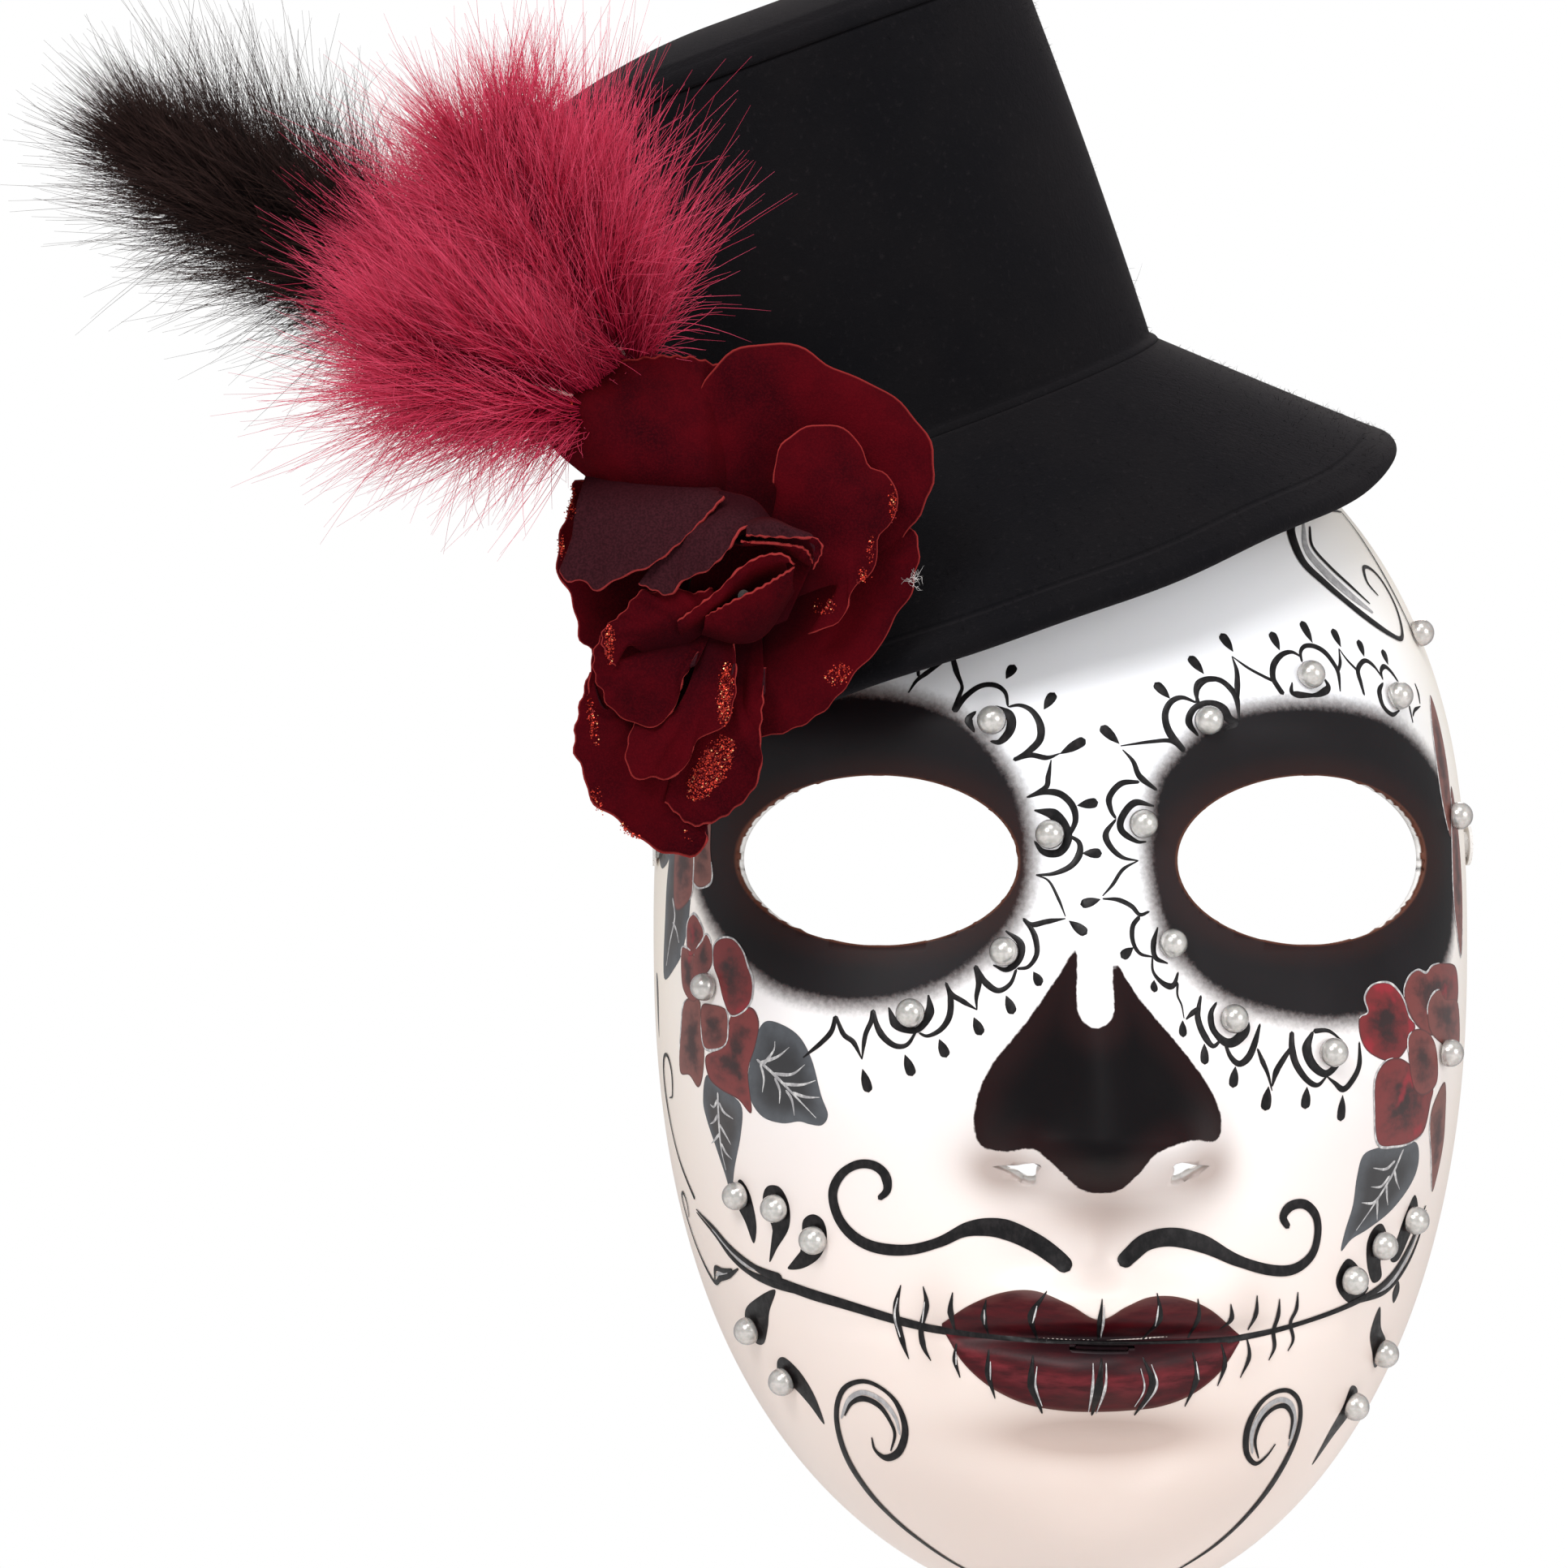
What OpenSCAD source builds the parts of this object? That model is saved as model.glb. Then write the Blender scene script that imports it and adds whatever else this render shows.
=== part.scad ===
// Day-of-the-dead full-face mask with a tilted mini top hat, a velvet rose, feathers and pearls.
// X runs to the viewer's right, the mask faces -Y, Z is up. The origin lies on the mask's
// symmetry plane, at eye level, in the plane of the shell's rear rim. Millimetres.

/* [Mask shell] */
// Half width of the rim at its widest
rim_half_w = 83; // [75:0.5:92]
// Height of the widest point above the eye line
rim_mid_z = -15; // [-20:1:-10]
// Rim height above the widest point
rim_up = 113; // [105:1:120]
// Rim height below the widest point
rim_down = 135; // [128:1:142]
// Depth of the plain face from the rim plane, without nose and brow
face_depth = 74; // [66:1:82]
// Wall thickness
wall = 2; // [1.6:0.1:2.6]
// Half distance between the eye openings' centres
eye_x = 41; // [38:0.5:44]
// Eye opening, half width
eye_half_w = 26; // [22:0.5:28]
// Eye opening, half height
eye_half_h = 16; // [12:0.5:18]
// How far the nose stands out
nose_h = 21; // [16:1:24]

/* [Ribbon eyelets] */
// Radius of the eyelet's bore
eyelet_r = 2; // [1.5:0.1:2.4]
// Radius of the eyelet's barrel
eyelet_barrel_r = 2.6; // [2.5:0.1:3]
// Radius of the eyelet's flanges
eyelet_flange_r = 4.2; // [3.6:0.1:5]

/* [Pearls] */
// Pearl radius
pearl_r = 2.75; // [2:0.05:3.2]

/* [Hat] */
// Radius of the crown's rounded ends at the brim
crown_r = 42; // [38:0.5:46]
// Radius of the crown's rounded ends at the top edge
crown_top_r = 41.5; // [38:0.5:46]
// Straight middle of the oval hat, side to side
hat_straight = 21; // [12:1:28]
// Crown height to the top edge
crown_h = 80; // [70:1:90]
// Rise of the domed top above its edge
crown_dome = 8; // [4:0.5:12]
// Radius of the brim's rounded ends at its edge
brim_r = 79; // [72:1:84]
// How far the brim's edge droops below the crown
brim_drop = 34; // [28:1:40]
// Felt thickness
felt = 1.4; // [1:0.1:2]
// Lean of the hat to the viewer's left, degrees
hat_lean = 20.5; // [15:0.5:26]
// Pitch of the hat towards the viewer, degrees
hat_pitch = 8; // [4:1:10]

/* [Rose] */
// Thickness of a petal
petal_t = 0.8; // [0.6:0.1:1.2]
// Radius of the felt disc behind the petals
rose_disc_r = 15; // [10:1:18]

/* [Feathers] */
// Radius of a quill at its base
quill_r = 1; // [0.7:0.1:1.4]
// Length of the black feather from the binding
black_len = 127; // [100:1:130]

/* [Hidden] */

// Grid cells across and up the shell
cells_u = 32;
cells_v = 40;
tiny = 0.012;
gap = 0.15;
// Height of a pearl's flat back above the face, and of its centre above that back
pearl_lift = 0.5;
pearl_sink = 0.9;
rim_power = 2.4;

// Pearl places on the face, as [x, z]
left_eye_pearls = [[-20, 26], [-9, 5], [-17.5, -17], [-35, -28.5]];
right_eye_pearls = [[20.5, 26], [41, 34.5], [60, 31], [8, 7], [13, -15.5], [25, -29.5], [44, -36]];
left_cheek_pearls = [[-66, -65], [-59, -66.5], [-52, -72], [-63.5, -92], [-57, -101]];
right_cheek_pearls = [[63.5, -70], [56, -74], [49.5, -80], [58, -96], [51.5, -105.5]];
temple_pearls = [[-72, -25], [71, -38], [75, 8], [68.5, 44]];

// Crown base centre, rose centre and the point where the quills are bound
hat_pos = [-31, -8, 86];
rose_pos = [-67, -84, 48];
binding_pos = [-80, -80, 80];

// ---- face surface --------------------------------------------------------

function bump(x, c, s) = exp(-pow((x - c) / s, 2));
function clamp01(t) = max(0, min(1, t));
function smooth(t) = let (c = clamp01(t)) c * c * (3 - 2 * c);

// Height above or below the widest point, as a share of that half of the rim
function rim_t(z) = z > rim_mid_z ? (z - rim_mid_z) / rim_up : (rim_mid_z - z) / rim_down;
function half_w(z) = rim_half_w * sqrt(max(0, 1 - pow(rim_t(z), rim_power)));

// Profile of the face down its middle, and of one level from the middle to the rim, 0 to 1
function profile(z) = z > rim_mid_z
    ? pow(max(0, 1 - pow(rim_t(z), 2.3)), 0.5)
    : pow(max(0, 1 - pow(rim_t(z), 10)), 1 / 2.3);
function across(s) = pow(max(0, 1 - pow(min(1, abs(s)), 2.3)), 1 / 2.1);

function brow(ax, z) = 4.5 * bump(ax, 36, 30) * bump(z, 25, 11) + 2 * bump(ax, 0, 12) * bump(z, 22, 14);
function sockets(ax, z) = -5 * bump(ax, eye_x - 1, 25) * bump(z, 0, 17);
function nose(ax, z) =
    let (k = clamp01((8 - z) / 58))
    nose_h * pow(k, 1.3) * smooth((z + 64) / 13) * bump(ax, 0, 8 + 6 * k)
    + 8 * bump(ax, 15, 7) * bump(z, -51, 8)
    - 2 * bump(ax, 25, 7) * bump(z, -52, 12);
function cheeks(ax, z) = 5 * bump(ax, 50, 22) * bump(z, -38, 20);
function lips(ax, z) = 4 * bump(ax, 0, 26) * bump(z, -84, 24)
    + 4 * bump(ax, 0, 21) * bump(z, -82, 5)
    + 4.5 * bump(ax, 0, 17) * bump(z, -95.5, 6)
    - 3.5 * bump(ax, 0, 27) * bump(z, -88.5, 2.2)
    - 1.2 * bump(ax, 0, 3.5) * bump(z, -71, 7);
function chin(ax, z) = 5 * bump(ax, 0, 20) * bump(z, -127, 14) - 3 * bump(ax, 0, 20) * bump(z, -108, 6.5);
function relief(x, z) =
    let (ax = abs(x))
    brow(ax, z) + sockets(ax, z) + nose(ax, z) + cheeks(ax, z) + lips(ax, z) + chin(ax, z);

// Depth of the outer face in front of the rim plane
function depth(x, z) =
    let (base = profile(z) * across(x / max(0.001, half_w(z))))
    face_depth * base + relief(x, z) * (1 - pow(1 - base, 3));

// A point of the face from grid coordinates, each -1 to 1: the square grid fills the rim's oval
function face_point(u, v) =
    let (
        a = u * sqrt(1 - v * v / 2),
        b = v * sqrt(1 - u * u / 2),
        r = max(0.0001, sqrt(a * a + b * b)),
        k = sin(90 * min(1, r)) / r,
        p = a * k,
        q = b * k,
        level = pow(abs(q), 2 / rim_power),
        x = rim_half_w * p,
        z = rim_mid_z + (q > 0 ? rim_up : -rim_down) * level
    )
    [x, r > 0.9999 ? 0 : -depth(x, z), z];

function unit(v) = v / max(0.000001, norm(v));

// Outward direction of the rim's outline
function rim_normal(p) =
    let (dz = p[2] - rim_mid_z, h = dz > 0 ? rim_up : rim_down)
    unit([2 * p[0] / (rim_half_w * rim_half_w), 0,
          sign(dz) * rim_power * pow(abs(dz) / h, rim_power - 1) / h]);

function face_normal(u, v) =
    let (
        du = face_point(min(1, u + tiny), v) - face_point(max(-1, u - tiny), v),
        dv = face_point(u, min(1, v + tiny)) - face_point(u, max(-1, v - tiny))
    )
    unit(cross(du, dv));

function inner_point(u, v) =
    let (
        p = face_point(u, v),
        at_rim = abs(u) > 0.999 || abs(v) > 0.999,
        n = at_rim ? rim_normal(p) : face_normal(u, v),
        q = p - wall * n
    )
    [q[0], at_rim ? 0 : min(-0.2, q[1]), q[2]];

// Outward direction at a place [x, z] on the face
function normal_at(x, z) =
    let (e = 0.2)
    unit([-(depth(x + e, z) - depth(x - e, z)) / (2 * e), -1,
          -(depth(x, z + e) - depth(x, z - e)) / (2 * e)]);

// Two sheets of points, n by m cells, closed round their edges into one solid
module closed_sheet(front, back, n, m) {
    row = n + 1;
    count = row * (m + 1);
    function at(i, j) = j * row + i;
    sheet_faces = [
        for (j = [0 : m - 1], i = [0 : n - 1], half = [0, 1])
        half == 0 ? [at(i, j), at(i, j + 1), at(i + 1, j + 1)] : [at(i, j), at(i + 1, j + 1), at(i + 1, j)]
    ];
    edge = concat(
        [for (i = [0 : n - 1]) at(i, 0)],
        [for (j = [0 : m - 1]) at(n, j)],
        [for (i = [n : -1 : 1]) at(i, m)],
        [for (j = [m : -1 : 1]) at(0, j)]
    );
    side_faces = [
        for (k = [0 : len(edge) - 1], half = [0, 1])
        let (a = edge[k], b = edge[(k + 1) % len(edge)])
        half == 0 ? [a, b, b + count] : [a, b + count, a + count]
    ];
    back_faces = [for (f = sheet_faces) [f[0] + count, f[2] + count, f[1] + count]];
    polyhedron(concat(front, back), concat(sheet_faces, back_faces, side_faces));
}

// ---- mask ------------------------------------------------------------------

module shell_body() {
    grid = [
        for (j = [0 : cells_v], i = [0 : cells_u])
        [2 * i / cells_u - 1, 2 * j / cells_v - 1]
    ];
    closed_sheet(
        [for (g = grid) face_point(g[0], g[1])],
        [for (g = grid) inner_point(g[0], g[1])],
        cells_u, cells_v
    );
}

module eye_cutter() {
    translate([0, 10, 0])
        rotate([90, 0, 0])
            scale([eye_half_w, eye_half_h, 1])
                cylinder(h = 120, r = 1, $fn = 56);
}

// A rounded triangle that slopes up into the nose
module nostril_cutter() {
    translate([0, -40, -57])
        rotate([90, 0, 0])
            linear_extrude(60)
                polygon([[-4, -1.5], [3.5, 2.5], [4, -2]]);
}

module mask_shell() {
    color("whitesmoke")
        resize([0, 0, 0])
            difference() {
                shell_body();
                for (side = [-1, 1]) {
                    translate([side * eye_x, 0, 0]) eye_cutter();
                    translate([side * 15, 0, 0]) mirror([side < 0 ? 1 : 0, 0, 0]) nostril_cutter();
                    translate([side * 70, -10, 2]) rotate([0, side * 90, 0])
                        cylinder(h = 20, r = eyelet_barrel_r + 0.15, $fn = 24);
                }
            }
}

// A flanged tube through the shell's side wall; x runs outward
module eyelet_profile() {
    polygon([
        [eyelet_r, -2.4], [eyelet_flange_r, -2.4], [eyelet_flange_r, -1.8], [eyelet_barrel_r, -1.8],
        [eyelet_barrel_r, 1.8], [eyelet_flange_r, 1.8], [eyelet_flange_r, 2.4], [eyelet_r, 2.4]
    ]);
}

module eyelet(side) {
    color("silver")
        translate([side * (rim_half_w - 2.2), -10, 2])
            rotate([0, 90, 0])
                rotate_extrude($fn = 32) eyelet_profile();
}
module ribbon_eyelet_left() { eyelet(-1); }
module ribbon_eyelet_right() { eyelet(1); }

// A half-round pearl whose flat back lies on the face
module pearl(place) {
    on_face(place, pearl_lift)
        intersection() {
            translate([0, 0, pearl_sink]) sphere(r = pearl_r, $fn = 32);
            translate([-4, -4, 0]) cube([8, 8, 8]);
        }
}
module pearl_group(places) { color("ivory") for (p = places) pearl(p); }
module pearls_left_eye() { pearl_group(left_eye_pearls); }
module pearls_right_eye() { pearl_group(right_eye_pearls); }
module pearls_left_cheek() { pearl_group(left_cheek_pearls); }
module pearls_right_cheek() { pearl_group(right_cheek_pearls); }
module pearls_temples() { pearl_group(temple_pearls); }

// ---- hat ---------------------------------------------------------------------

module hat_place() {
    translate(hat_pos)
        rotate([hat_pitch, -hat_lean, 0])
            children();
}

// Turns an outline of [radius, height] points round the hat's oval: two half turns and two straights
module oval_turn(outline) {
    for (side = [0, 1]) {
        mirror([side, 0, 0])
            translate([hat_straight / 2, 0, 0])
                rotate([0, 0, -90])
                    rotate_extrude(angle = 180, $fn = 96) polygon(outline);
        mirror([0, side, 0])
            translate([-hat_straight / 2, 0, 0])
                rotate([90, 0, 90])
                    linear_extrude(hat_straight) polygon(outline);
    }
}

// A band of constant thickness between two [radius, height] points, turned about the hat's axis
module turned_band(low, high, t) {
    d = unit([high[0] - low[0], high[1] - low[1]]);
    off = [t * d[1], -t * d[0]];
    oval_turn([low, high, high + off, low + off]);
}

brim_dir = [brim_r - crown_r, -brim_drop] / norm([brim_r - crown_r, brim_drop]);
brim_normal = [-brim_dir[1], brim_dir[0]];
brim_in = [crown_r, 0] + 1.5 * brim_dir;
brim_out = [brim_r, -brim_drop];
board = 0.8;
wire_r = 0.6;
wire_at = brim_out + (wire_r + 0.2) * brim_dir - 0.5 * brim_normal;

module hat_crown_side() {
    color([0.09, 0.08, 0.1])
        hat_place() turned_band([crown_r - felt, 0.6], [crown_top_r - felt, crown_h], felt);
}

// A shallow dome, as a ring of steps round a true arc
module dome_shell(r, rise, z0, t) {
    big = (r * r + rise * rise) / (2 * rise);
    sweep = asin(r / big);
    steps = 8;
    upper = [for (i = [0 : steps]) let (a = sweep * i / steps) [big * sin(a), z0 + rise - big * (1 - cos(a))]];
    lower = [for (i = [steps : -1 : 0]) [upper[i][0], upper[i][1] - t]];
    oval_turn(concat(upper, lower));
}

module hat_crown_top() {
    color([0.09, 0.08, 0.1])
        hat_place() dome_shell(crown_top_r, crown_dome, crown_h + gap + felt, felt);
}

module hat_crown_former() {
    color("tan")
        hat_place()
            turned_band([crown_r - felt - gap - board, 2], [crown_top_r - felt - gap - board, crown_h - 1.6], board);
}

module hat_crown_top_former() {
    color("tan")
        hat_place()
            dome_shell(crown_top_r - felt - 0.6, crown_dome - 0.6, crown_h - 0.2, board);
}

module brim_layer(above, t) {
    low = brim_in + above * brim_normal;
    high = brim_out + above * brim_normal;
    oval_turn([low, high, high + t * brim_normal, low + t * brim_normal]);
}
module hat_brim_upper() {
    color([0.09, 0.08, 0.1]) hat_place() brim_layer(0, felt);
}
module hat_brim_stiffener() {
    color("tan") hat_place() brim_layer(-gap - board, board);
}
module hat_brim_lower() {
    color([0.11, 0.1, 0.12]) hat_place() brim_layer(-2 * gap - board - felt, felt);
}
module hat_brim_wire() {
    color("silver")
        hat_place()
            for (side = [0, 1]) {
                mirror([side, 0, 0])
                    translate([hat_straight / 2, 0, wire_at[1]])
                        rotate([0, 0, -90])
                            rotate_extrude(angle = 180, $fn = 96)
                                translate([wire_at[0], 0]) circle(r = wire_r, $fn = 16);
                mirror([0, side, 0])
                    translate([-hat_straight / 2, wire_at[0], wire_at[1]])
                        rotate([0, 90, 0]) cylinder(h = hat_straight, r = wire_r, $fn = 16);
            }
}
module hat_sweatband() {
    color([0.2, 0.18, 0.2])
        hat_place()
            turned_band([crown_r - felt - 2 * gap - 2 * board - 0.2, 2.5],
                        [crown_r - felt - 2 * gap - 2 * board - 0.4, 18], board);
}

// Stands children on the face at a place [x, z], their z along the face's outward direction
module on_face(place, lift) {
    n = normal_at(place[0], place[1]);
    translate([place[0], -depth(place[0], place[1]), place[1]] + lift * n)
        rotate([0, acos(n[2]), atan2(n[1], n[0])])
            children();
}

// Hot glue between the brim's underside and the forehead
module hat_glue_pads() {
    color("beige")
        for (place = [[-33, 66], [-20, 68], [-7, 73]])
            on_face(place, 0.4) cylinder(h = 5, r = 3, $fn = 24);
}

// ---- rose --------------------------------------------------------------------

// The rose's own frame: z points out of the flower towards the viewer, y is up
module rose_place() {
    translate(rose_pos) rotate([90, 0, 0]) children();
}

// One petal. at: direction round the flower; from, to: distance of its base and tip from the
// middle; spread: half its angle; base: height of its foot; open: its slope; curl: tip turned back
function petal_point(u, v, at, from, to, spread, base, open, curl) =
    let (
        len = (to - from) * (1 - 0.3 * v * v * v * v - 0.06 * v * v),
        r = from + len * u,
        a = at + v * spread * (1 - 0.18 * pow(1 - u, 2) - 0.2 * pow(u, 4)),
        rise = base + len * u * tan(open) - curl * pow(u, 3) + 0.9 * v * u + 2 * v * v * u
    )
    [r * cos(a), r * sin(a), rise];

module petal(at, from, to, spread, base, open, curl) {
    n = 9;
    m = 8;
    grid = [for (j = [0 : m], i = [0 : n]) [j / m, 2 * i / n - 1]];
    front = [for (g = grid) petal_point(g[0], g[1], at, from, to, spread, base + petal_t, open, curl)];
    back = [for (g = grid) petal_point(g[0], g[1], at, from, to, spread, base, open, curl)];
    rose_place() closed_sheet(back, front, n, m);
}

velvet = [0.45, 0.03, 0.06];
dusk = [0.28, 0.1, 0.15];

module petal_outer_top_right() { color(velvet) petal(62, 5, 45, 38, 2, 4, 3); }
module petal_outer_top_left() { color(velvet) petal(128, 5, 44, 32, 4, 4, 3); }
module petal_outer_left() { color(velvet) petal(196, 5, 33, 36, 2, 6, 3); }
module petal_outer_bottom() { color(velvet) petal(262, 5, 46, 34, 4, 4, 3); }
module petal_outer_right() { color(velvet) petal(322, 5, 38, 33, 7, 4, 3); }
module petal_middle_right() { color(velvet) petal(28, 4.5, 29, 38, 8.6, 16, 3); }
module petal_middle_top() { color(dusk) petal(104, 4.5, 29, 36, 10.6, 16, 3); }
module petal_middle_left() { color(velvet) petal(176, 4.5, 26, 34, 8.6, 16, 3); }
module petal_middle_bottom_left() { color(velvet) petal(242, 4.5, 34, 34, 10.6, 14, 3); }
module petal_middle_bottom_right() { color(velvet) petal(310, 4.5, 30, 32, 12.6, 14, 3); }
module petal_inner_right() { color(velvet) petal(12, 4, 18, 42, 15.5, 34, 2); }
module petal_inner_top() { color(dusk) petal(98, 4, 19, 42, 17, 34, 2); }
module petal_inner_left() { color(velvet) petal(186, 4, 17, 42, 15.5, 34, 2); }
module petal_inner_bottom() { color(velvet) petal(276, 4, 18, 42, 17, 34, 2); }
module petal_bud_outer() { color(velvet) petal(40, 3.4, 8, 80, 19, 62, 1); }
module petal_bud_inner() { color(velvet) petal(220, 3.4, 8, 80, 19, 62, 1); }

module rose_backing() {
    color("darkgreen") rose_place() translate([0, 0, 0.2]) cylinder(h = 1.4, r = rose_disc_r, $fn = 48);
}
module rose_stem_wire() {
    color("darkgreen") rose_place() translate([0, 0, 1.8]) cylinder(h = 17, r = 1, $fn = 24);
}
// A disc on the brim's upper side, at an angle round its left half circle and a distance down its slope
module disc_on_brim(angle, along, r, above) {
    at = [crown_r, 0] + along * brim_dir + above * brim_normal;
    hat_place() translate([-hat_straight / 2, 0, 0]) rotate([0, 0, angle]) translate([at[0], 0, at[1]])
        rotate([0, atan2(brim_normal[0], brim_normal[1]), 0]) cylinder(h = 0.5, r = r, $fn = 32);
}
module rose_glue_pad() {
    color("beige") hull() {
        rose_place() translate([4, -5, -0.6]) cylinder(h = 0.5, r = 5, $fn = 32);
        disc_on_brim(242, 38, 5, felt + 0.3);
    }
}

// ---- feathers ------------------------------------------------------------------

// A feather lies along a straight line in a plane parallel to the face, and rises by angle
module feather_place(lift, angle) {
    translate(binding_pos + [0, lift, 0])
        rotate([0, angle - 180, 0])
            children();
}

// The bare quill, along +X
module quill(bare) {
    color("ivory") rotate([0, 90, 0]) cylinder(h = bare, r1 = quill_r, r2 = 0.7 * quill_r, $fn = 16);
}

// A soft spindle of down from one distance along the quill to another
module plume(from, to, half_width, half_thick) {
    sides = 12;
    rings = 12;
    size = [for (k = [0 : rings]) let (s = k / rings) 0.12 + 0.88 * pow(sin(180 * pow(s, 0.8)), 0.7)];
    points = [
        for (k = [0 : rings], i = [0 : sides - 1])
        let (a = 360 * i / sides)
        [from + (to - from) * k / rings, half_thick * size[k] * sin(a), half_width * size[k] * cos(a)]
    ];
    walls = [
        for (k = [0 : rings - 1], i = [0 : sides - 1], half = [0, 1])
        let (a = k * sides + i, b = k * sides + (i + 1) % sides)
        half == 0 ? [a, b, b + sides] : [a, b + sides, a + sides]
    ];
    first = [for (i = [sides - 1 : -1 : 0]) i];
    last = [for (i = [0 : sides - 1]) rings * sides + i];
    polyhedron(points, concat(walls, [first, last]));
}

module feather_binding() {
    color("ivory") translate(binding_pos + [3, 0, -4]) rotate([0, -38, 0])
        cylinder(h = 12, r = 3.4, center = true, $fn = 32);
}
module black_feather_quill() { feather_place(5, 31) quill(26); }
module black_feather_plume() { color([0.1, 0.09, 0.1]) feather_place(5, 31) plume(26.2, black_len, 17, 4); }
module red_feather_low_quill() { feather_place(-5, 36) quill(8); }
module red_feather_low_plume() { color("crimson") feather_place(-5, 36) plume(8.2, 78, 22, 4); }
module red_feather_high_quill() { feather_place(-14, 62) quill(8); }
module red_feather_high_plume() { color("crimson") feather_place(-14, 62) plume(8.2, 76, 17, 4); }
module red_feather_short_quill() { feather_place(-23, 8) quill(8); }
module red_feather_short_plume() { color("crimson") feather_place(-23, 8) plume(8.2, 64, 17, 4); }

mask_shell();
ribbon_eyelet_left();
ribbon_eyelet_right();
hat_crown_side();
hat_crown_top();
hat_crown_former();
hat_crown_top_former();
hat_brim_upper();
hat_brim_lower();
hat_brim_stiffener();
hat_brim_wire();
hat_sweatband();
hat_glue_pads();
rose_backing();
rose_stem_wire();
rose_glue_pad();
petal_outer_top_right();
petal_outer_top_left();
petal_outer_left();
petal_outer_bottom();
petal_outer_right();
petal_middle_right();
petal_middle_top();
petal_middle_left();
petal_middle_bottom_left();
petal_middle_bottom_right();
petal_inner_right();
petal_inner_top();
petal_inner_left();
petal_inner_bottom();
petal_bud_outer();
petal_bud_inner();
feather_binding();
black_feather_quill();
black_feather_plume();
red_feather_low_quill();
red_feather_low_plume();
red_feather_high_quill();
red_feather_high_plume();
red_feather_short_quill();
red_feather_short_plume();
pearls_left_eye();
pearls_right_eye();
pearls_left_cheek();
pearls_right_cheek();
pearls_temples();
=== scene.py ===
import math
import random

import bmesh
import bpy
import numpy as np
from mathutils import Matrix, Vector


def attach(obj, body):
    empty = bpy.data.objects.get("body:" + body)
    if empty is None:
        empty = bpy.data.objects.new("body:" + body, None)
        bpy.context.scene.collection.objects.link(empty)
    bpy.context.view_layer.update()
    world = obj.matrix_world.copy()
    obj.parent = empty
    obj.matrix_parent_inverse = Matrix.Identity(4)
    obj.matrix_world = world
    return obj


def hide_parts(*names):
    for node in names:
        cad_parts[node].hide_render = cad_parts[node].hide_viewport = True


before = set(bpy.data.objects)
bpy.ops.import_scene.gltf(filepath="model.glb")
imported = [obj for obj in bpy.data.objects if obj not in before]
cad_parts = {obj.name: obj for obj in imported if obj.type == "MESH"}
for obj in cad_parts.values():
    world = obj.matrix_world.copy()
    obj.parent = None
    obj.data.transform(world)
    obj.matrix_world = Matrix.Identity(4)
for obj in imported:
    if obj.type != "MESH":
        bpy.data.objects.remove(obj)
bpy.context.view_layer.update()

MM = 0.001

# ---- camera and stage ------------------------------------------------------------

CAMERA_AT = (-57.7, -780.0, 14.4)
CAMERA_AZIMUTH = -2.0
ORBIT_Y = -40.0
FRAME_MM = 309.0
FRAME_DISTANCE = 747.0
FLOOR_Z = -151.0


def make_camera():
    """Looks straight at the mask from a little to the left of its middle, level with its brow."""
    data = bpy.data.cameras.new("camera")
    data.sensor_fit = "HORIZONTAL"
    data.angle = 2 * math.atan(FRAME_MM / 2 / FRAME_DISTANCE)
    camera = bpy.data.objects.new("camera", data)
    pivot = Vector((0.0, ORBIT_Y * MM, 0.0))
    turn = Matrix.Rotation(math.radians(CAMERA_AZIMUTH), 4, "Z")
    at = Vector(CAMERA_AT) * MM
    camera.matrix_world = (
        Matrix.Translation(pivot)
        @ turn
        @ Matrix.Translation(at - pivot)
        @ Matrix.Rotation(math.radians(90), 4, "X")
    )
    bpy.context.scene.collection.objects.link(camera)
    bpy.context.scene.camera = camera
    return camera


camera = make_camera()


def area_light(name, at, aim, size, power, color=(1, 1, 1)):
    data = bpy.data.lights.new(name, "AREA")
    data.shape = "DISK"
    data.size = size
    data.energy = power
    data.color = color
    light = bpy.data.objects.new(name, data)
    light.location = at
    light.rotation_euler = (Vector(aim) - Vector(at)).to_track_quat("-Z", "Y").to_euler()
    bpy.context.scene.collection.objects.link(light)
    return light


def make_light():
    """A bright white room: even light all round, a large soft key from the upper left and a fill."""
    world = bpy.data.worlds.new("world")
    world.use_nodes = True
    bpy.context.scene.world = world
    tree = world.node_tree
    back = tree.nodes["Background"]
    back.inputs["Color"].default_value = (1, 1, 1, 1)
    back.inputs["Strength"].default_value = 0.56
    seen = tree.nodes.new("ShaderNodeBackground")
    seen.inputs["Color"].default_value = (1, 1, 1, 1)
    seen.inputs["Strength"].default_value = 1.0
    path = tree.nodes.new("ShaderNodeLightPath")
    mix = tree.nodes.new("ShaderNodeMixShader")
    out = tree.nodes["World Output"]
    tree.links.new(path.outputs["Is Camera Ray"], mix.inputs["Fac"])
    tree.links.new(back.outputs[0], mix.inputs[1])
    tree.links.new(seen.outputs[0], mix.inputs[2])
    tree.links.new(mix.outputs[0], out.inputs["Surface"])
    area_light("key", (-0.55, -1.0, 0.75), (-0.03, -0.04, 0.02), 0.5, 9.0)
    area_light("top", (0.05, -0.7, 1.1), (0.0, -0.04, 0.05), 0.6, 5.0)
    area_light("fill", (0.8, -0.9, 0.25), (0, 0, 0), 0.7, 4.0)
    area_light("rim", (0.1, 0.8, 0.5), (0, 0, 0), 0.6, 4.0, (1.0, 0.93, 0.88))
    bpy.context.scene.view_settings.view_transform = "Standard"


make_light()

# ---- mesh helpers ----------------------------------------------------------------


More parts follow.
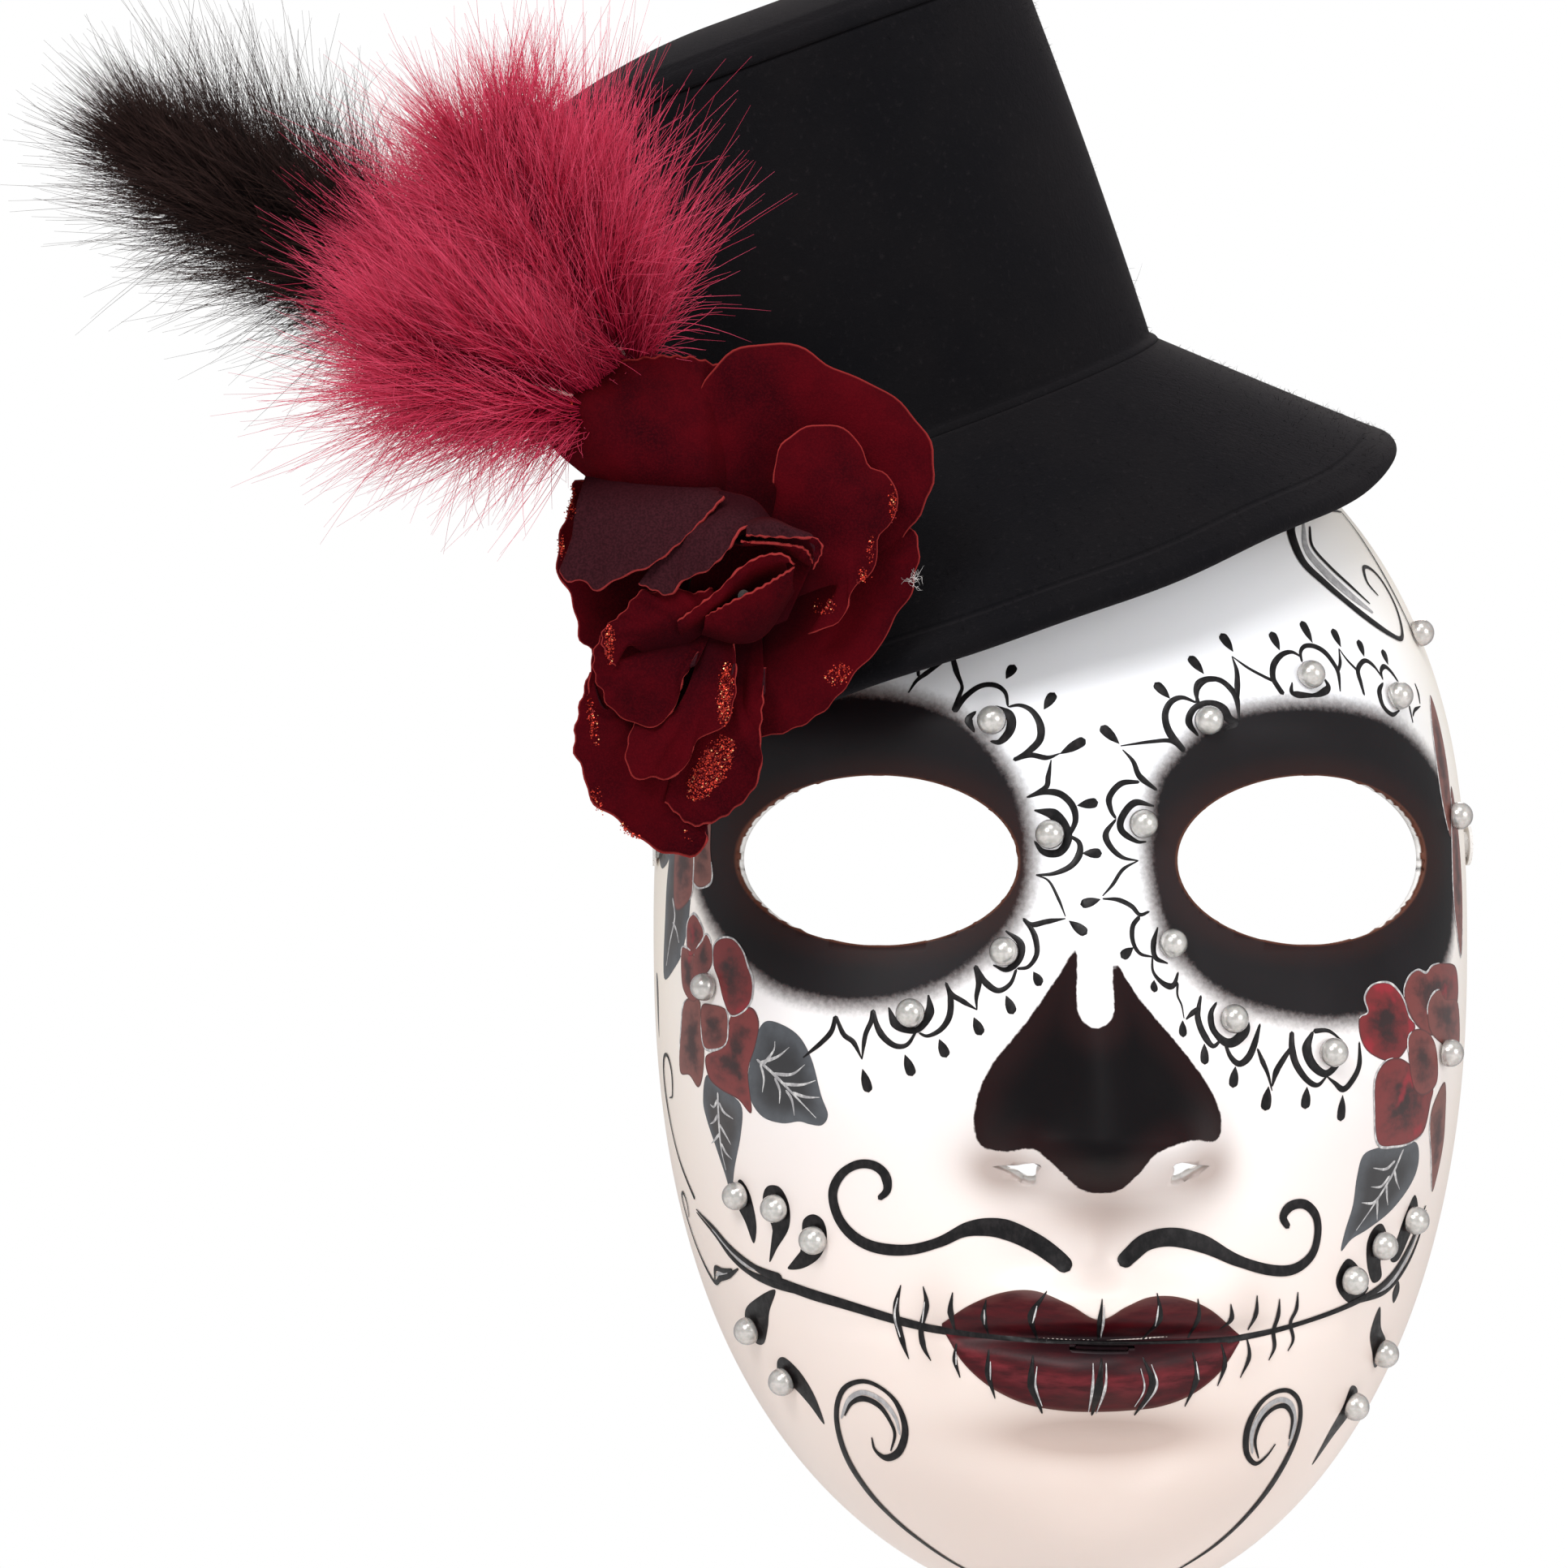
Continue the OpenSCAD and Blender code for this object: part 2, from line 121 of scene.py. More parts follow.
def new_object(name, verts, faces, material=None, smooth=True, attributes=None):
    """A mesh object from millimetre points."""
    mesh = bpy.data.meshes.new(name)
    mesh.from_pydata((np.asarray(verts, float) * MM).tolist(), [], faces)
    mesh.validate()
    if smooth:
        mesh.polygons.foreach_set("use_smooth", [True] * len(mesh.polygons))
    for key, values in (attributes or {}).items():
        layer = mesh.attributes.new(key, "FLOAT", "POINT")
        layer.data.foreach_set("value", np.asarray(values, np.float32).ravel())
    obj = bpy.data.objects.new(name, mesh)
    bpy.context.scene.collection.objects.link(obj)
    if material:
        mesh.materials.append(material)
    return obj


def place(obj, slot, *nodes):
    """Rides obj on the one body and hides the CAD nodes it stands for; the slot naming its finish is not used."""
    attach(obj, "root")
    if nodes:
        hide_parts(*nodes)
    return obj


# ---- the face's surface, as in the CAD model ---------------------------------------

RIM_HALF_W = 83.0
RIM_MID_Z = -15.0
RIM_UP = 113.0
RIM_DOWN = 135.0
RIM_POWER = 2.4
FACE_DEPTH = 74.0
WALL = 2.0
EYE_X = 41.0
EYE_HALF = (26.0, 16.0)
NOSE_H = 21.0


def bump(x, c, s):
    return np.exp(-(((x - c) / s) ** 2))


def smooth01(t):
    t = np.clip(t, 0, 1)
    return t * t * (3 - 2 * t)


def rim_t(z):
    return np.where(z > RIM_MID_Z, (z - RIM_MID_Z) / RIM_UP, (RIM_MID_Z - z) / RIM_DOWN)


def half_w(z):
    return RIM_HALF_W * np.sqrt(np.maximum(0, 1 - rim_t(z) ** RIM_POWER))


def profile(z):
    t = rim_t(z)
    top = np.maximum(0, 1 - t**2.3) ** 0.5
    low = np.maximum(0, 1 - t**10) ** (1 / 2.3)
    return np.where(z > RIM_MID_Z, top, low)


def across(s):
    return np.maximum(0, 1 - np.minimum(1, np.abs(s)) ** 2.3) ** (1 / 2.1)


def relief(x, z):
    """Brow, sockets, nose, cheeks, lips and chin, in millimetres in front of the plain face."""
    ax = np.abs(x)
    k = np.clip((8 - z) / 58, 0, 1)
    out = 4.5 * bump(ax, 36, 30) * bump(z, 25, 11) + 2 * bump(ax, 0, 12) * bump(z, 22, 14)
    out -= 5 * bump(ax, EYE_X - 1, 25) * bump(z, 0, 17)
    out += NOSE_H * k**1.3 * smooth01((z + 64) / 13) * bump(ax, 0, 8 + 6 * k)
    out += 8 * bump(ax, 15, 7) * bump(z, -51, 8) - 2 * bump(ax, 25, 7) * bump(z, -52, 12)
    out += 5 * bump(ax, 50, 22) * bump(z, -38, 20) + 4 * bump(ax, 0, 26) * bump(z, -84, 24)
    out += 4 * bump(ax, 0, 21) * bump(z, -82, 5) + 4.5 * bump(ax, 0, 17) * bump(z, -95.5, 6)
    out -= 3.5 * bump(ax, 0, 27) * bump(z, -88.5, 2.2) + 1.2 * bump(ax, 0, 3.5) * bump(z, -71, 7)
    out += 5 * bump(ax, 0, 20) * bump(z, -127, 14) - 3 * bump(ax, 0, 20) * bump(z, -108, 6.5)
    return out


def depth(x, z):
    base = profile(z) * across(x / np.maximum(0.001, half_w(z)))
    return FACE_DEPTH * base + relief(x, z) * (1 - (1 - base) ** 3)


def face_at(angle, z):
    """The face at a height, angle degrees of its half ellipse from the middle (radians)."""
    side = np.sin(angle)
    x = half_w(z) * side
    base = profile(z) * across(side)
    y = -(FACE_DEPTH * base + relief(x, z) * (1 - (1 - base) ** 3))
    return np.stack(np.broadcast_arrays(x, y, z), -1)


def unit(v):
    return v / np.maximum(1e-9, np.linalg.norm(v, axis=-1, keepdims=True))


def face_direction(angle, z):
    """Outward directions of the face."""
    quarter = math.pi / 2
    da = face_at(np.minimum(quarter, angle + 0.004), z) - face_at(np.maximum(-quarter, angle - 0.004), z)
    dz = face_at(angle, z + 0.2) - face_at(angle, z - 0.2)
    return unit(np.cross(da, dz))


class Unrolled:
    """The plain face unrolled level by level: s runs round it from the middle, z is the height."""

    def __init__(self):
        self.levels = np.linspace(-148, 96, 245)
        self.angles = np.linspace(0, math.pi / 2, 241)
        side = np.sin(self.angles)
        x = half_w(self.levels)[:, None] * side
        y = FACE_DEPTH * profile(self.levels)[:, None] * across(side)
        steps = np.hypot(np.diff(x, axis=1), np.diff(y, axis=1))
        self.length = np.concatenate([np.zeros((len(self.levels), 1)), np.cumsum(steps, axis=1)], axis=1)

    def level(self, z):
        f = np.clip(z - self.levels[0], 0, len(self.levels) - 1.001)
        return f.astype(int), f - f.astype(int)

    def to_angle(self, s, z):
        rows, parts = self.level(z)
        out = np.empty(len(s))
        for i, (a, row, part) in enumerate(zip(np.abs(s), rows, parts)):
            line = self.length[row] * (1 - part) + self.length[row + 1] * part
            out[i] = np.interp(a, line, self.angles)
        return np.sign(s) * out

    def to_s(self, angle, z):
        rows, parts = self.level(z)
        g = np.clip(np.abs(angle) / self.angles[1], 0, len(self.angles) - 1.001)
        col, across_part = g.astype(int), g - g.astype(int)
        low = self.length[rows, col] * (1 - across_part) + self.length[rows, col + 1] * across_part
        high = self.length[rows + 1, col] * (1 - across_part) + self.length[rows + 1, col + 1] * across_part
        return np.sign(angle) * (low * (1 - parts) + high * parts)


UNROLLED = Unrolled()


def on_face(places, lift=0.0):
    """Points and outward directions of the face at unrolled places (s, z)."""
    places = np.asarray(places, float).reshape(-1, 2)
    angle = UNROLLED.to_angle(places[:, 0], places[:, 1])
    out = face_direction(angle, places[:, 1])
    return face_at(angle, places[:, 1]) + out * np.reshape(lift, (-1, 1)), out


def smooth_path(points, closed=False, per=8):
    """A Catmull-Rom curve through the points."""
    p = np.asarray(points, float)
    if closed:
        p = np.concatenate([p[-1:], p, p[:2]])
    else:
        p = np.concatenate([2 * p[:1] - p[1:2], p, 2 * p[-1:] - p[-2:-1]])
    t = np.linspace(0, 1, per, endpoint=False)[:, None]
    parts = []
    for a, b, c, d in zip(p, p[1:], p[2:], p[3:]):
        parts.append(0.5 * (2 * b + (c - a) * t + (2 * a - 5 * b + 4 * c - d) * t**2 + (3 * b - 3 * c + d - a) * t**3))
    out = np.concatenate(parts)
    return out if closed else np.concatenate([out, p[-2:-1]])


def inside_distance(places, outline):
    """How far each place lies inside a closed outline; negative outside it."""
    a = outline
    b = np.roll(outline, -1, axis=0)
    best = np.full(len(places), 1e9)
    winding = np.zeros(len(places), int)
    for p, q in zip(a, b):
        d = q - p
        rel = places - p
        t = np.clip(rel @ d / max(1e-9, d @ d), 0, 1)
        best = np.minimum(best, np.hypot(*(rel - t[:, None] * d).T))
        turn = d[0] * rel[:, 1] - d[1] * rel[:, 0]
        winding += ((p[1] <= places[:, 1]) & (q[1] > places[:, 1]) & (turn > 0)).astype(int)
        winding -= ((p[1] > places[:, 1]) & (q[1] <= places[:, 1]) & (turn < 0)).astype(int)
    return np.where(winding != 0, best, -best)


# ---- materials -------------------------------------------------------------------


class Nodes:
    """A material under construction: nodes are added by type, their inputs given by name."""

    def __init__(self, name, **principled):
        self.material = bpy.data.materials.new(name)
        self.material.use_nodes = True
        self.tree = self.material.node_tree
        self.shader = self.tree.nodes["Principled BSDF"]
        self.feed(self.shader, principled)

    def feed(self, node, inputs):
        for key, value in inputs.items():
            socket = node.inputs[key if isinstance(key, int) else key.replace("_", " ")]
            if isinstance(value, bpy.types.NodeSocket):
                self.tree.links.new(value, socket)
            elif isinstance(value, tuple) and len(value) == 3 and socket.type == "RGBA":
                socket.default_value = (*value, 1)
            else:
                socket.default_value = value

    def add(self, kind, out=0, settings=None, **inputs):
        node = self.tree.nodes.new("ShaderNode" + kind)
        for key, value in (settings or {}).items():
            setattr(node, key, value)
        self.feed(node, inputs)
        return node.outputs[out]

    def attribute(self, name):
        return self.add("Attribute", "Fac", {"attribute_name": name})

    def place(self):
        return self.add("TexCoord", "Object")

    def noise(self, scale, detail=3.0, roughness=0.55, vector=None):
        vector = vector or self.place()
        return self.add("TexNoise", 0, None, Vector=vector, Scale=scale, Detail=detail, Roughness=roughness)

    def stretch(self, scale):
        return self.add("Mapping", 0, None, Vector=self.place(), Scale=scale)

    def ramp(self, value, low, high, to_low=0.0, to_high=1.0, smooth=True):
        kind = "SMOOTHSTEP" if smooth else "LINEAR"
        inputs = {"Value": value, "From Min": low, "From Max": high, "To Min": to_low, "To Max": to_high}
        return self.add("MapRange", 0, {"interpolation_type": kind}, **inputs)

    def math(self, operation, a, b=0.0):
        node = self.tree.nodes.new("ShaderNodeMath")
        node.operation = operation
        self.feed(node, {0: a, 1: b})
        return node.outputs[0]

    def mix(self, fac, a, b, blend="MIX"):
        node = self.tree.nodes.new("ShaderNodeMix")
        node.data_type = "RGBA"
        node.blend_type = blend
        self.feed(node, {0: fac, 6: a, 7: b})
        return node.outputs[2]

    def bump(self, height, strength, distance, normal=None):
        inputs = {"Height": height, "Strength": strength, "Distance": distance}
        if normal:
            inputs["Normal"] = normal
        return self.add("Bump", 0, None, **inputs)

    def finish(self, **inputs):
        self.feed(self.shader, inputs)
        return self.material


def srgb(r, g, b):
    """Linear light of an sRGB colour given from 0 to 255."""
    return tuple((c / 255 / 12.92) if c <= 10 else ((c / 255 + 0.055) / 1.055) ** 2.4 for c in (r, g, b))


# ---- the painted shell -----------------------------------------------------------

LEFT_SOCKET = [(-88, -7), (-88, 9), (-70.5, 24.5), (-56, 31), (-42, 32), (-26.5, 27.5), (-15.7, 15.3),
               (-12.4, 1.7), (-15, -10.5), (-25, -21), (-39, -26.5), (-54, -26.8), (-70, -22)]
RIGHT_SOCKET = [(9.4, 7.7), (11.6, 16.8), (22.5, 26.7), (39.6, 30), (60.4, 27.8), (78, 20), (89.6, 9),
                (87.8, -15), (74.6, -25.5), (55.7, -30), (38.6, -30), (22.4, -25), (12.9, -15), (9.2, -3)]
NOSE_PATCH = [(-5.2, -15.8), (-7.8, -20.4), (-13.9, -29.6), (-21, -39), (-23.6, -47), (-22.6, -52.6),
              (-18.4, -53.3), (-14, -52.2), (-9.4, -55.8), (-4.6, -60.3), (-1, -61.5), (3.3, -60.8),
              (6, -57), (8.4, -52.8), (15.2, -50.8), (21, -52), (22.8, -49.5), (21.5, -44),
              (15.8, -35.7), (6.7, -25.4), (2.2, -18.6), (1.4, -22), (1.2, -28), (-2, -30.4),
              (-4.9, -28), (-5, -22), (-4.7, -17.5)]
CELLS_U, CELLS_V = 300, 400


def face_points(u, v):
    """The shell's front over a square of (u, v), each from -1 to 1; the square's edge is the rim."""
    a = u * np.sqrt(1 - v * v / 2)
    b = v * np.sqrt(1 - u * u / 2)
    r = np.maximum(1e-4, np.hypot(a, b))
    k = np.sin(math.pi / 2 * np.minimum(1, r)) / r
    p, q = a * k, b * k
    z = RIM_MID_Z + np.where(q > 0, RIM_UP, -RIM_DOWN) * np.abs(q) ** (2 / RIM_POWER)
    x = RIM_HALF_W * p
    return np.stack([x, np.where(r > 0.9999, 0, -depth(x, z)), z], -1)


def rim_direction(p):
    dz = p[..., 2] - RIM_MID_Z
    h = np.where(dz > 0, RIM_UP, RIM_DOWN)
    slope = np.sign(dz) * RIM_POWER * (np.abs(dz) / h) ** (RIM_POWER - 1) / h
    return unit(np.stack([2 * p[..., 0] / RIM_HALF_W**2, 0 * slope, slope], -1))


def hole_measures(x, z):
    """For the two eye openings and the two nostrils: 1 on the edge, less inside; and the edge's place."""
    out = []
    for side in (-1, 1):
        for cx, cz, a, b, tilt, corners in ((EYE_X, 0, *EYE_HALF, 0.0, 0.0), (15.4, -57.2, 3.5, 1.9, 0.1, 0.3)):
            dx, dz = side * x - cx, z - cz
            along = dx * math.cos(tilt) + dz * math.sin(tilt)
            up = -dx * math.sin(tilt) + dz * math.cos(tilt)
            m = np.hypot(along / a, up / b) * (1 - corners * np.cos(3 * np.arctan2(up / b, along / a)))
            grow = 1 / np.maximum(m, 1e-3)
            out.append((m, side * (cx + dx * grow), cz + dz * grow))
    return out


def make_shell(material):
    """The moulded shell: front, back and rolled edges, with its airbrushed areas, its painted shade and its painted
    warm rim as attributes.
    """
    u, v = np.meshgrid(np.linspace(-1, 1, CELLS_U + 1), np.linspace(-1, 1, CELLS_V + 1))
    front = face_points(u, v)
    e = 0.002
    du = face_points(np.minimum(1, u + e), v) - face_points(np.maximum(-1, u - e), v)
    dv = face_points(u, np.minimum(1, v + e)) - face_points(u, np.maximum(-1, v - e))
    out = unit(np.cross(du, dv))
    at_rim = (np.abs(u) > 0.999) | (np.abs(v) > 0.999)
    out = np.where(at_rim[..., None], rim_direction(front), out)
    front, out, at_rim = front.reshape(-1, 3), out.reshape(-1, 3), at_rim.ravel()

    row = CELLS_U + 1
    first = (np.arange(CELLS_V)[:, None] * row + np.arange(CELLS_U)).ravel()
    quads = np.stack([first, first + 1, first + 1 + row, first + row], 1)
    cut = np.zeros(len(front), bool)
    middle = front[quads].mean(axis=1)
    keep = ~((np.abs(middle[:, 0]) > 60) & (np.hypot(middle[:, 1] + 10, middle[:, 2] - 2) < 3.2))
    for m, edge_x, edge_z in hole_measures(front[:, 0], front[:, 2]):
        inside = m < 1
        keep &= ~inside[quads].all(axis=1)
        moved = np.unique(quads[keep & inside[quads].any(axis=1)])
        moved = moved[inside[moved]]
        x, z = edge_x[moved], edge_z[moved]
        front[moved] = np.stack([x, -depth(x, z), z], -1)
        out[moved] = face_direction(np.arcsin(x / half_w(z)), z)
        cut[moved] = True
    quads = quads[keep]

    back = front - WALL * out
    back[:, 1] = np.where(at_rim, 0, np.minimum(-0.2, back[:, 1]))
    count = len(front)
    sides = np.concatenate([quads[:, [0, 1]], quads[:, [1, 2]], quads[:, [2, 3]], quads[:, [3, 0]]])
    key = np.minimum(sides[:, 0], sides[:, 1]) * count + np.maximum(sides[:, 0], sides[:, 1])
    order, index, uses = np.unique(key, return_index=True, return_counts=True)
    edges = sides[index[uses == 1]]
    ring = np.unique(edges)

    inward = np.zeros((count, 3))
    for corner in range(4):
        np.add.at(inward, quads[:, corner], middle[keep] - front[quads[:, corner]])
    away = -unit(inward[ring])
    layers = []
    for part in (0.3, 0.7):
        layers.append(front[ring] * (1 - part) + back[ring] * part + 0.3 * away)
    place_of = np.full(count, -1)
    place_of[ring] = np.arange(len(ring))
    step = [lambda i: i, lambda i: 2 * count + place_of[i], lambda i: 2 * count + len(ring) + place_of[i],
            lambda i: i + count]
    walls = [np.stack([a(edges[:, 1]), a(edges[:, 0]), b(edges[:, 0]), b(edges[:, 1])], 1)
             for a, b in zip(step, step[1:])]
    verts = np.concatenate([front, back, *layers])
    faces = np.concatenate([quads, quads[:, ::-1] + count, *walls])

    used = np.unique(faces)
    new_index = np.full(len(verts), -1)
    new_index[used] = np.arange(len(used))
    verts, faces = verts[used], new_index[faces]
    inside_face = np.concatenate([np.zeros(count), np.ones(count), np.full(len(ring), 0.5), np.ones(len(ring))])
    attributes = paint_areas(verts)
    attributes["inside"] = inside_face[used]
    shell = new_object("shell", verts, faces.tolist(), material, attributes=attributes)
    return place(shell, "shell", "mask_shell")


def paint_areas(verts):
    """Where each airbrushed area lies, in millimetres inside its outline; painted shade in the hollows by the nose,
    mouth and chin; and the painted warm rim.
    """
    x, z = verts[:, 0], verts[:, 2]
    side = np.clip(x / np.maximum(0.01, half_w(z)), -1, 1)
    s = UNROLLED.to_s(np.arcsin(side), z)
    places = np.stack([s, z], -1)
    socket = np.full(len(s), -50.0)
    nose = np.full(len(s), -50.0)
    near = np.abs(z) < 45
    for outline in (LEFT_SOCKET, RIGHT_SOCKET):
        loop = smooth_path(outline, closed=True, per=8)
        socket[near] = np.maximum(socket[near], inside_distance(places[near], loop))
    near = (np.abs(s) < 32) & (z < -8) & (z > -70)
    nose[near] = inside_distance(places[near], smooth_path(NOSE_PATCH, closed=True, per=5))
    eye = np.min([m for m, _, _ in hole_measures(x, z)][::2], axis=0)
    # Painted shade in the hollows beside and under the nose, at the mouth's corners, under the lower lip and over the
    # chin.
    shade = 0.75 * (bump(s, 19, 6.5) + bump(s, -19, 6.5)) * bump(z, -57, 5)
    shade += 0.55 * bump(s, 0, 13) * bump(z, -65, 5) + 0.8 * bump(s, 0, 22) * bump(z, -107, 4.2)
    shade += 0.3 * bump(s, 0, 40) * bump(z, -118, 12) + 0.25 * (bump(s, 29, 5) + bump(s, -31, 5)) * bump(z, -87, 9)
    shade += 0.22 * bump(s, 0, 4.5) * bump(z, -72, 6)
    # edge: 0 at the front, 1 at the rim; it carries a painted warm light towards the rim.
    edge = 1 - np.minimum(1, depth(x, z) / FACE_DEPTH)
    return {"socket": socket, "nose": nose, "eye": (eye - 1) * 20, "shade": shade, "edge": edge}


def shell_material():
    n = Nodes("shell_paint", Roughness=0.36, IOR=1.47)
    wobble = n.math("MULTIPLY", n.math("SUBTRACT", n.noise(900, 2), 0.5), 0.5)
    streak = n.math("MULTIPLY", n.math("SUBTRACT", n.noise(1, 5, 0.6, n.stretch((1200, 300, 1200))), 0.5), 1.6)
    # Painted warm light: the white turns cream towards the rim.
    white = n.mix(n.ramp(n.attribute("edge"), 0.15, 0.9), srgb(243, 243, 246), srgb(247, 236, 222))
    # Painted shade: the white turns darker and warmer towards the bottom of the face.
    low = n.ramp(n.add("SeparateXYZ", "Z", None, Vector=n.place()), -0.11, 0.02, 1, 0)
    white = n.mix(n.math("MULTIPLY", low, 0.95), white, srgb(228, 211, 202))
    mottle = n.ramp(n.noise(28, 4), 0.35, 0.7)
    white = n.mix(n.math("MULTIPLY", mottle, 0.05), white, srgb(214, 214, 216))
    # Painted shade: brownish grey where the shade attribute is high.
    white = n.mix(n.math("MINIMUM", n.attribute("shade"), 0.62), white, srgb(150, 126, 116))
    socket = n.math("ADD", n.attribute("socket"), n.math("ADD", wobble, streak))
    halo = n.mix(n.ramp(socket, -2.9, 0.4, 0, 0.85), white, srgb(112, 108, 108))
    black = n.mix(n.ramp(n.attribute("eye"), 0.0, 7.0, 1, 0), srgb(15, 13, 16), srgb(34, 18, 17))
    black = n.mix(n.ramp(n.noise(60, 4), 0.4, 0.75, 0, 0.4), black, srgb(25, 22, 27))
    colour = n.mix(n.ramp(socket, -0.5, 1.9), halo, black)
    nose = n.math("ADD", n.attribute("nose"), wobble)
    nose_black = n.mix(n.ramp(n.attribute("nose"), 0.3, 7), srgb(30, 19, 20), srgb(13, 12, 14))
    colour = n.mix(n.ramp(nose, -0.15, 0.2), colour, nose_black)
    cut = n.ramp(n.attribute("eye"), 0.0, 0.55, 1, 0)
    colour = n.mix(n.math("MULTIPLY", cut, 0.8), colour, srgb(96, 58, 44))
    colour = n.mix(n.ramp(n.attribute("inside"), 0.6, 0.9), colour, srgb(232, 230, 228))
    painted = n.math("MAXIMUM", n.ramp(socket, -0.5, 1.9), n.ramp(nose, -0.15, 0.2))
    rough = n.ramp(n.math("ADD", painted, n.math("MULTIPLY", n.noise(200, 4), 0.3)), 0, 1.3, 0.33, 0.56)
    grain = n.bump(n.noise(1500, 3), 0.06, 0.0002)
    lumps = n.bump(n.noise(90, 4), 0.12, 0.0006, grain)
    return n.finish(Base_Color=colour, Roughness=rough, Normal=lumps, Subsurface_Weight=0.03,
                    Specular_IOR_Level=n.math("MINIMUM", n.ramp(painted, 0, 1, 0.5, 0.2), n.ramp(nose, -0.15, 0.2, 0.5, 0.07)))


make_shell(shell_material())

# ---- brushed paint ---------------------------------------------------------------


class Brushwork:
    """Thin marks of paint lying on the face, gathered into one mesh."""

    def __init__(self, lift):
        self.lift = lift
        self.verts, self.faces, self.rim, self.tone = [], [], [], []
        self.count = 0

    def add(self, verts, faces, rim, tone):
        self.faces += [tuple(i + self.count for i in f) for f in faces]
        self.verts.append(verts)
        self.rim.append(rim)
        self.tone.append(np.full(len(verts), tone))
        self.count += len(verts)

    def stroke(self, points, widths, tone=0.5, lift=0.0):
        """A brush stroke along (s, z) points; widths in millimetres are spread evenly over its length."""
        path = smooth_path(points, per=10)
        run = np.concatenate([[0], np.cumsum(np.hypot(*np.diff(path, axis=0).T))])
        n = max(8, int(run[-1] / 0.35))
        t = np.linspace(0, run[-1], n + 1)
        path = np.stack([np.interp(t, run, path[:, 0]), np.interp(t, run, path[:, 1])], 1)
        width = np.interp(t / run[-1], np.linspace(0, 1, len(widths)), widths)
        for end, w in ((t, widths[0]), (run[-1] - t, widths[-1])):
            if w > 0.3:
                width *= np.sqrt(1 - np.clip(1 - end / (w / 2), 0, 1) ** 2)
        middle, out = on_face(path, self.lift + lift)
        along = unit(np.gradient(middle, axis=0))
        side = unit(np.cross(along, out)) * (np.maximum(width, 0.03) / 2)[:, None]
        rows = [middle + side - 0.04 * out, middle + 0.6 * side + 0.03 * out,
                middle - 0.6 * side + 0.03 * out, middle - side - 0.04 * out]
        faces = []
        for r in range(3):
            for i in range(n):
                a = r * (n + 1) + i
                faces.append((a, a + n + 1, a + n + 2, a + 1))
        rim = np.concatenate([np.full(n + 1, r) for r in (1.0, 0.3, 0.3, 1.0)])
        self.add(np.concatenate(rows), faces, rim, tone)

    def drop(self, tip, head, width=1.9, tone=0.5):
        """A drop shaped mark, pointed at its tip and round at its head."""
        points = [tip, np.add(tip, head) / 2, head]
        self.stroke(points, [0.1, 0.5 * width, 0.85 * width, width, width, 0.9 * width], tone)

    def patch(self, outline, tone=0.5, lift=0.0, rings=9, centre=None):
        """A filled area inside a closed outline; rim runs from 0 in its middle to 1 at the outline."""
        loop = smooth_path(outline, closed=True, per=6)
        centre = np.asarray(centre if centre is not None else loop.mean(axis=0))
        n = len(loop)
        places = [centre[None]]
        for k in range(1, rings + 1):
            places.append(centre + (loop - centre) * k / rings)
        verts, _ = on_face(np.concatenate(places), self.lift + lift)
        faces = [(0, 1 + (i + 1) % n, 1 + i) for i in range(n)]
        for k in range(rings - 1):
            a, b = 1 + k * n, 1 + (k + 1) * n
            faces += [(a + i, a + (i + 1) % n, b + (i + 1) % n, b + i) for i in range(n)]
        rim = np.concatenate([[0.0], np.repeat(np.arange(1, rings + 1) / rings, n)])
        self.add(verts, faces, rim, tone)

    def finish(self, name, material):
        mesh_verts = np.concatenate(self.verts)
        attributes = {"rim": np.concatenate(self.rim), "tone": np.concatenate(self.tone)}
        obj = new_object(name, mesh_verts, self.faces, material, attributes=attributes)
        face_outwards(obj)
        return place(obj, "shell", "mask_shell")


def face_outwards(obj):
    """Turns every face of a mark so that it looks away from the inside of the mask."""
    mesh = obj.data
    normals = np.empty(len(mesh.polygons) * 3, np.float32)
    centres = np.empty(len(mesh.polygons) * 3, np.float32)
    mesh.polygons.foreach_get("normal", normals)
    mesh.polygons.foreach_get("center", centres)
    away = centres.reshape(-1, 3) - np.array([0, 0.03, -0.02])
    wrong = (normals.reshape(-1, 3) * away).sum(axis=1) < 0
    for i in np.nonzero(wrong)[0]:
        mesh.polygons[int(i)].flip()
    mesh.update()


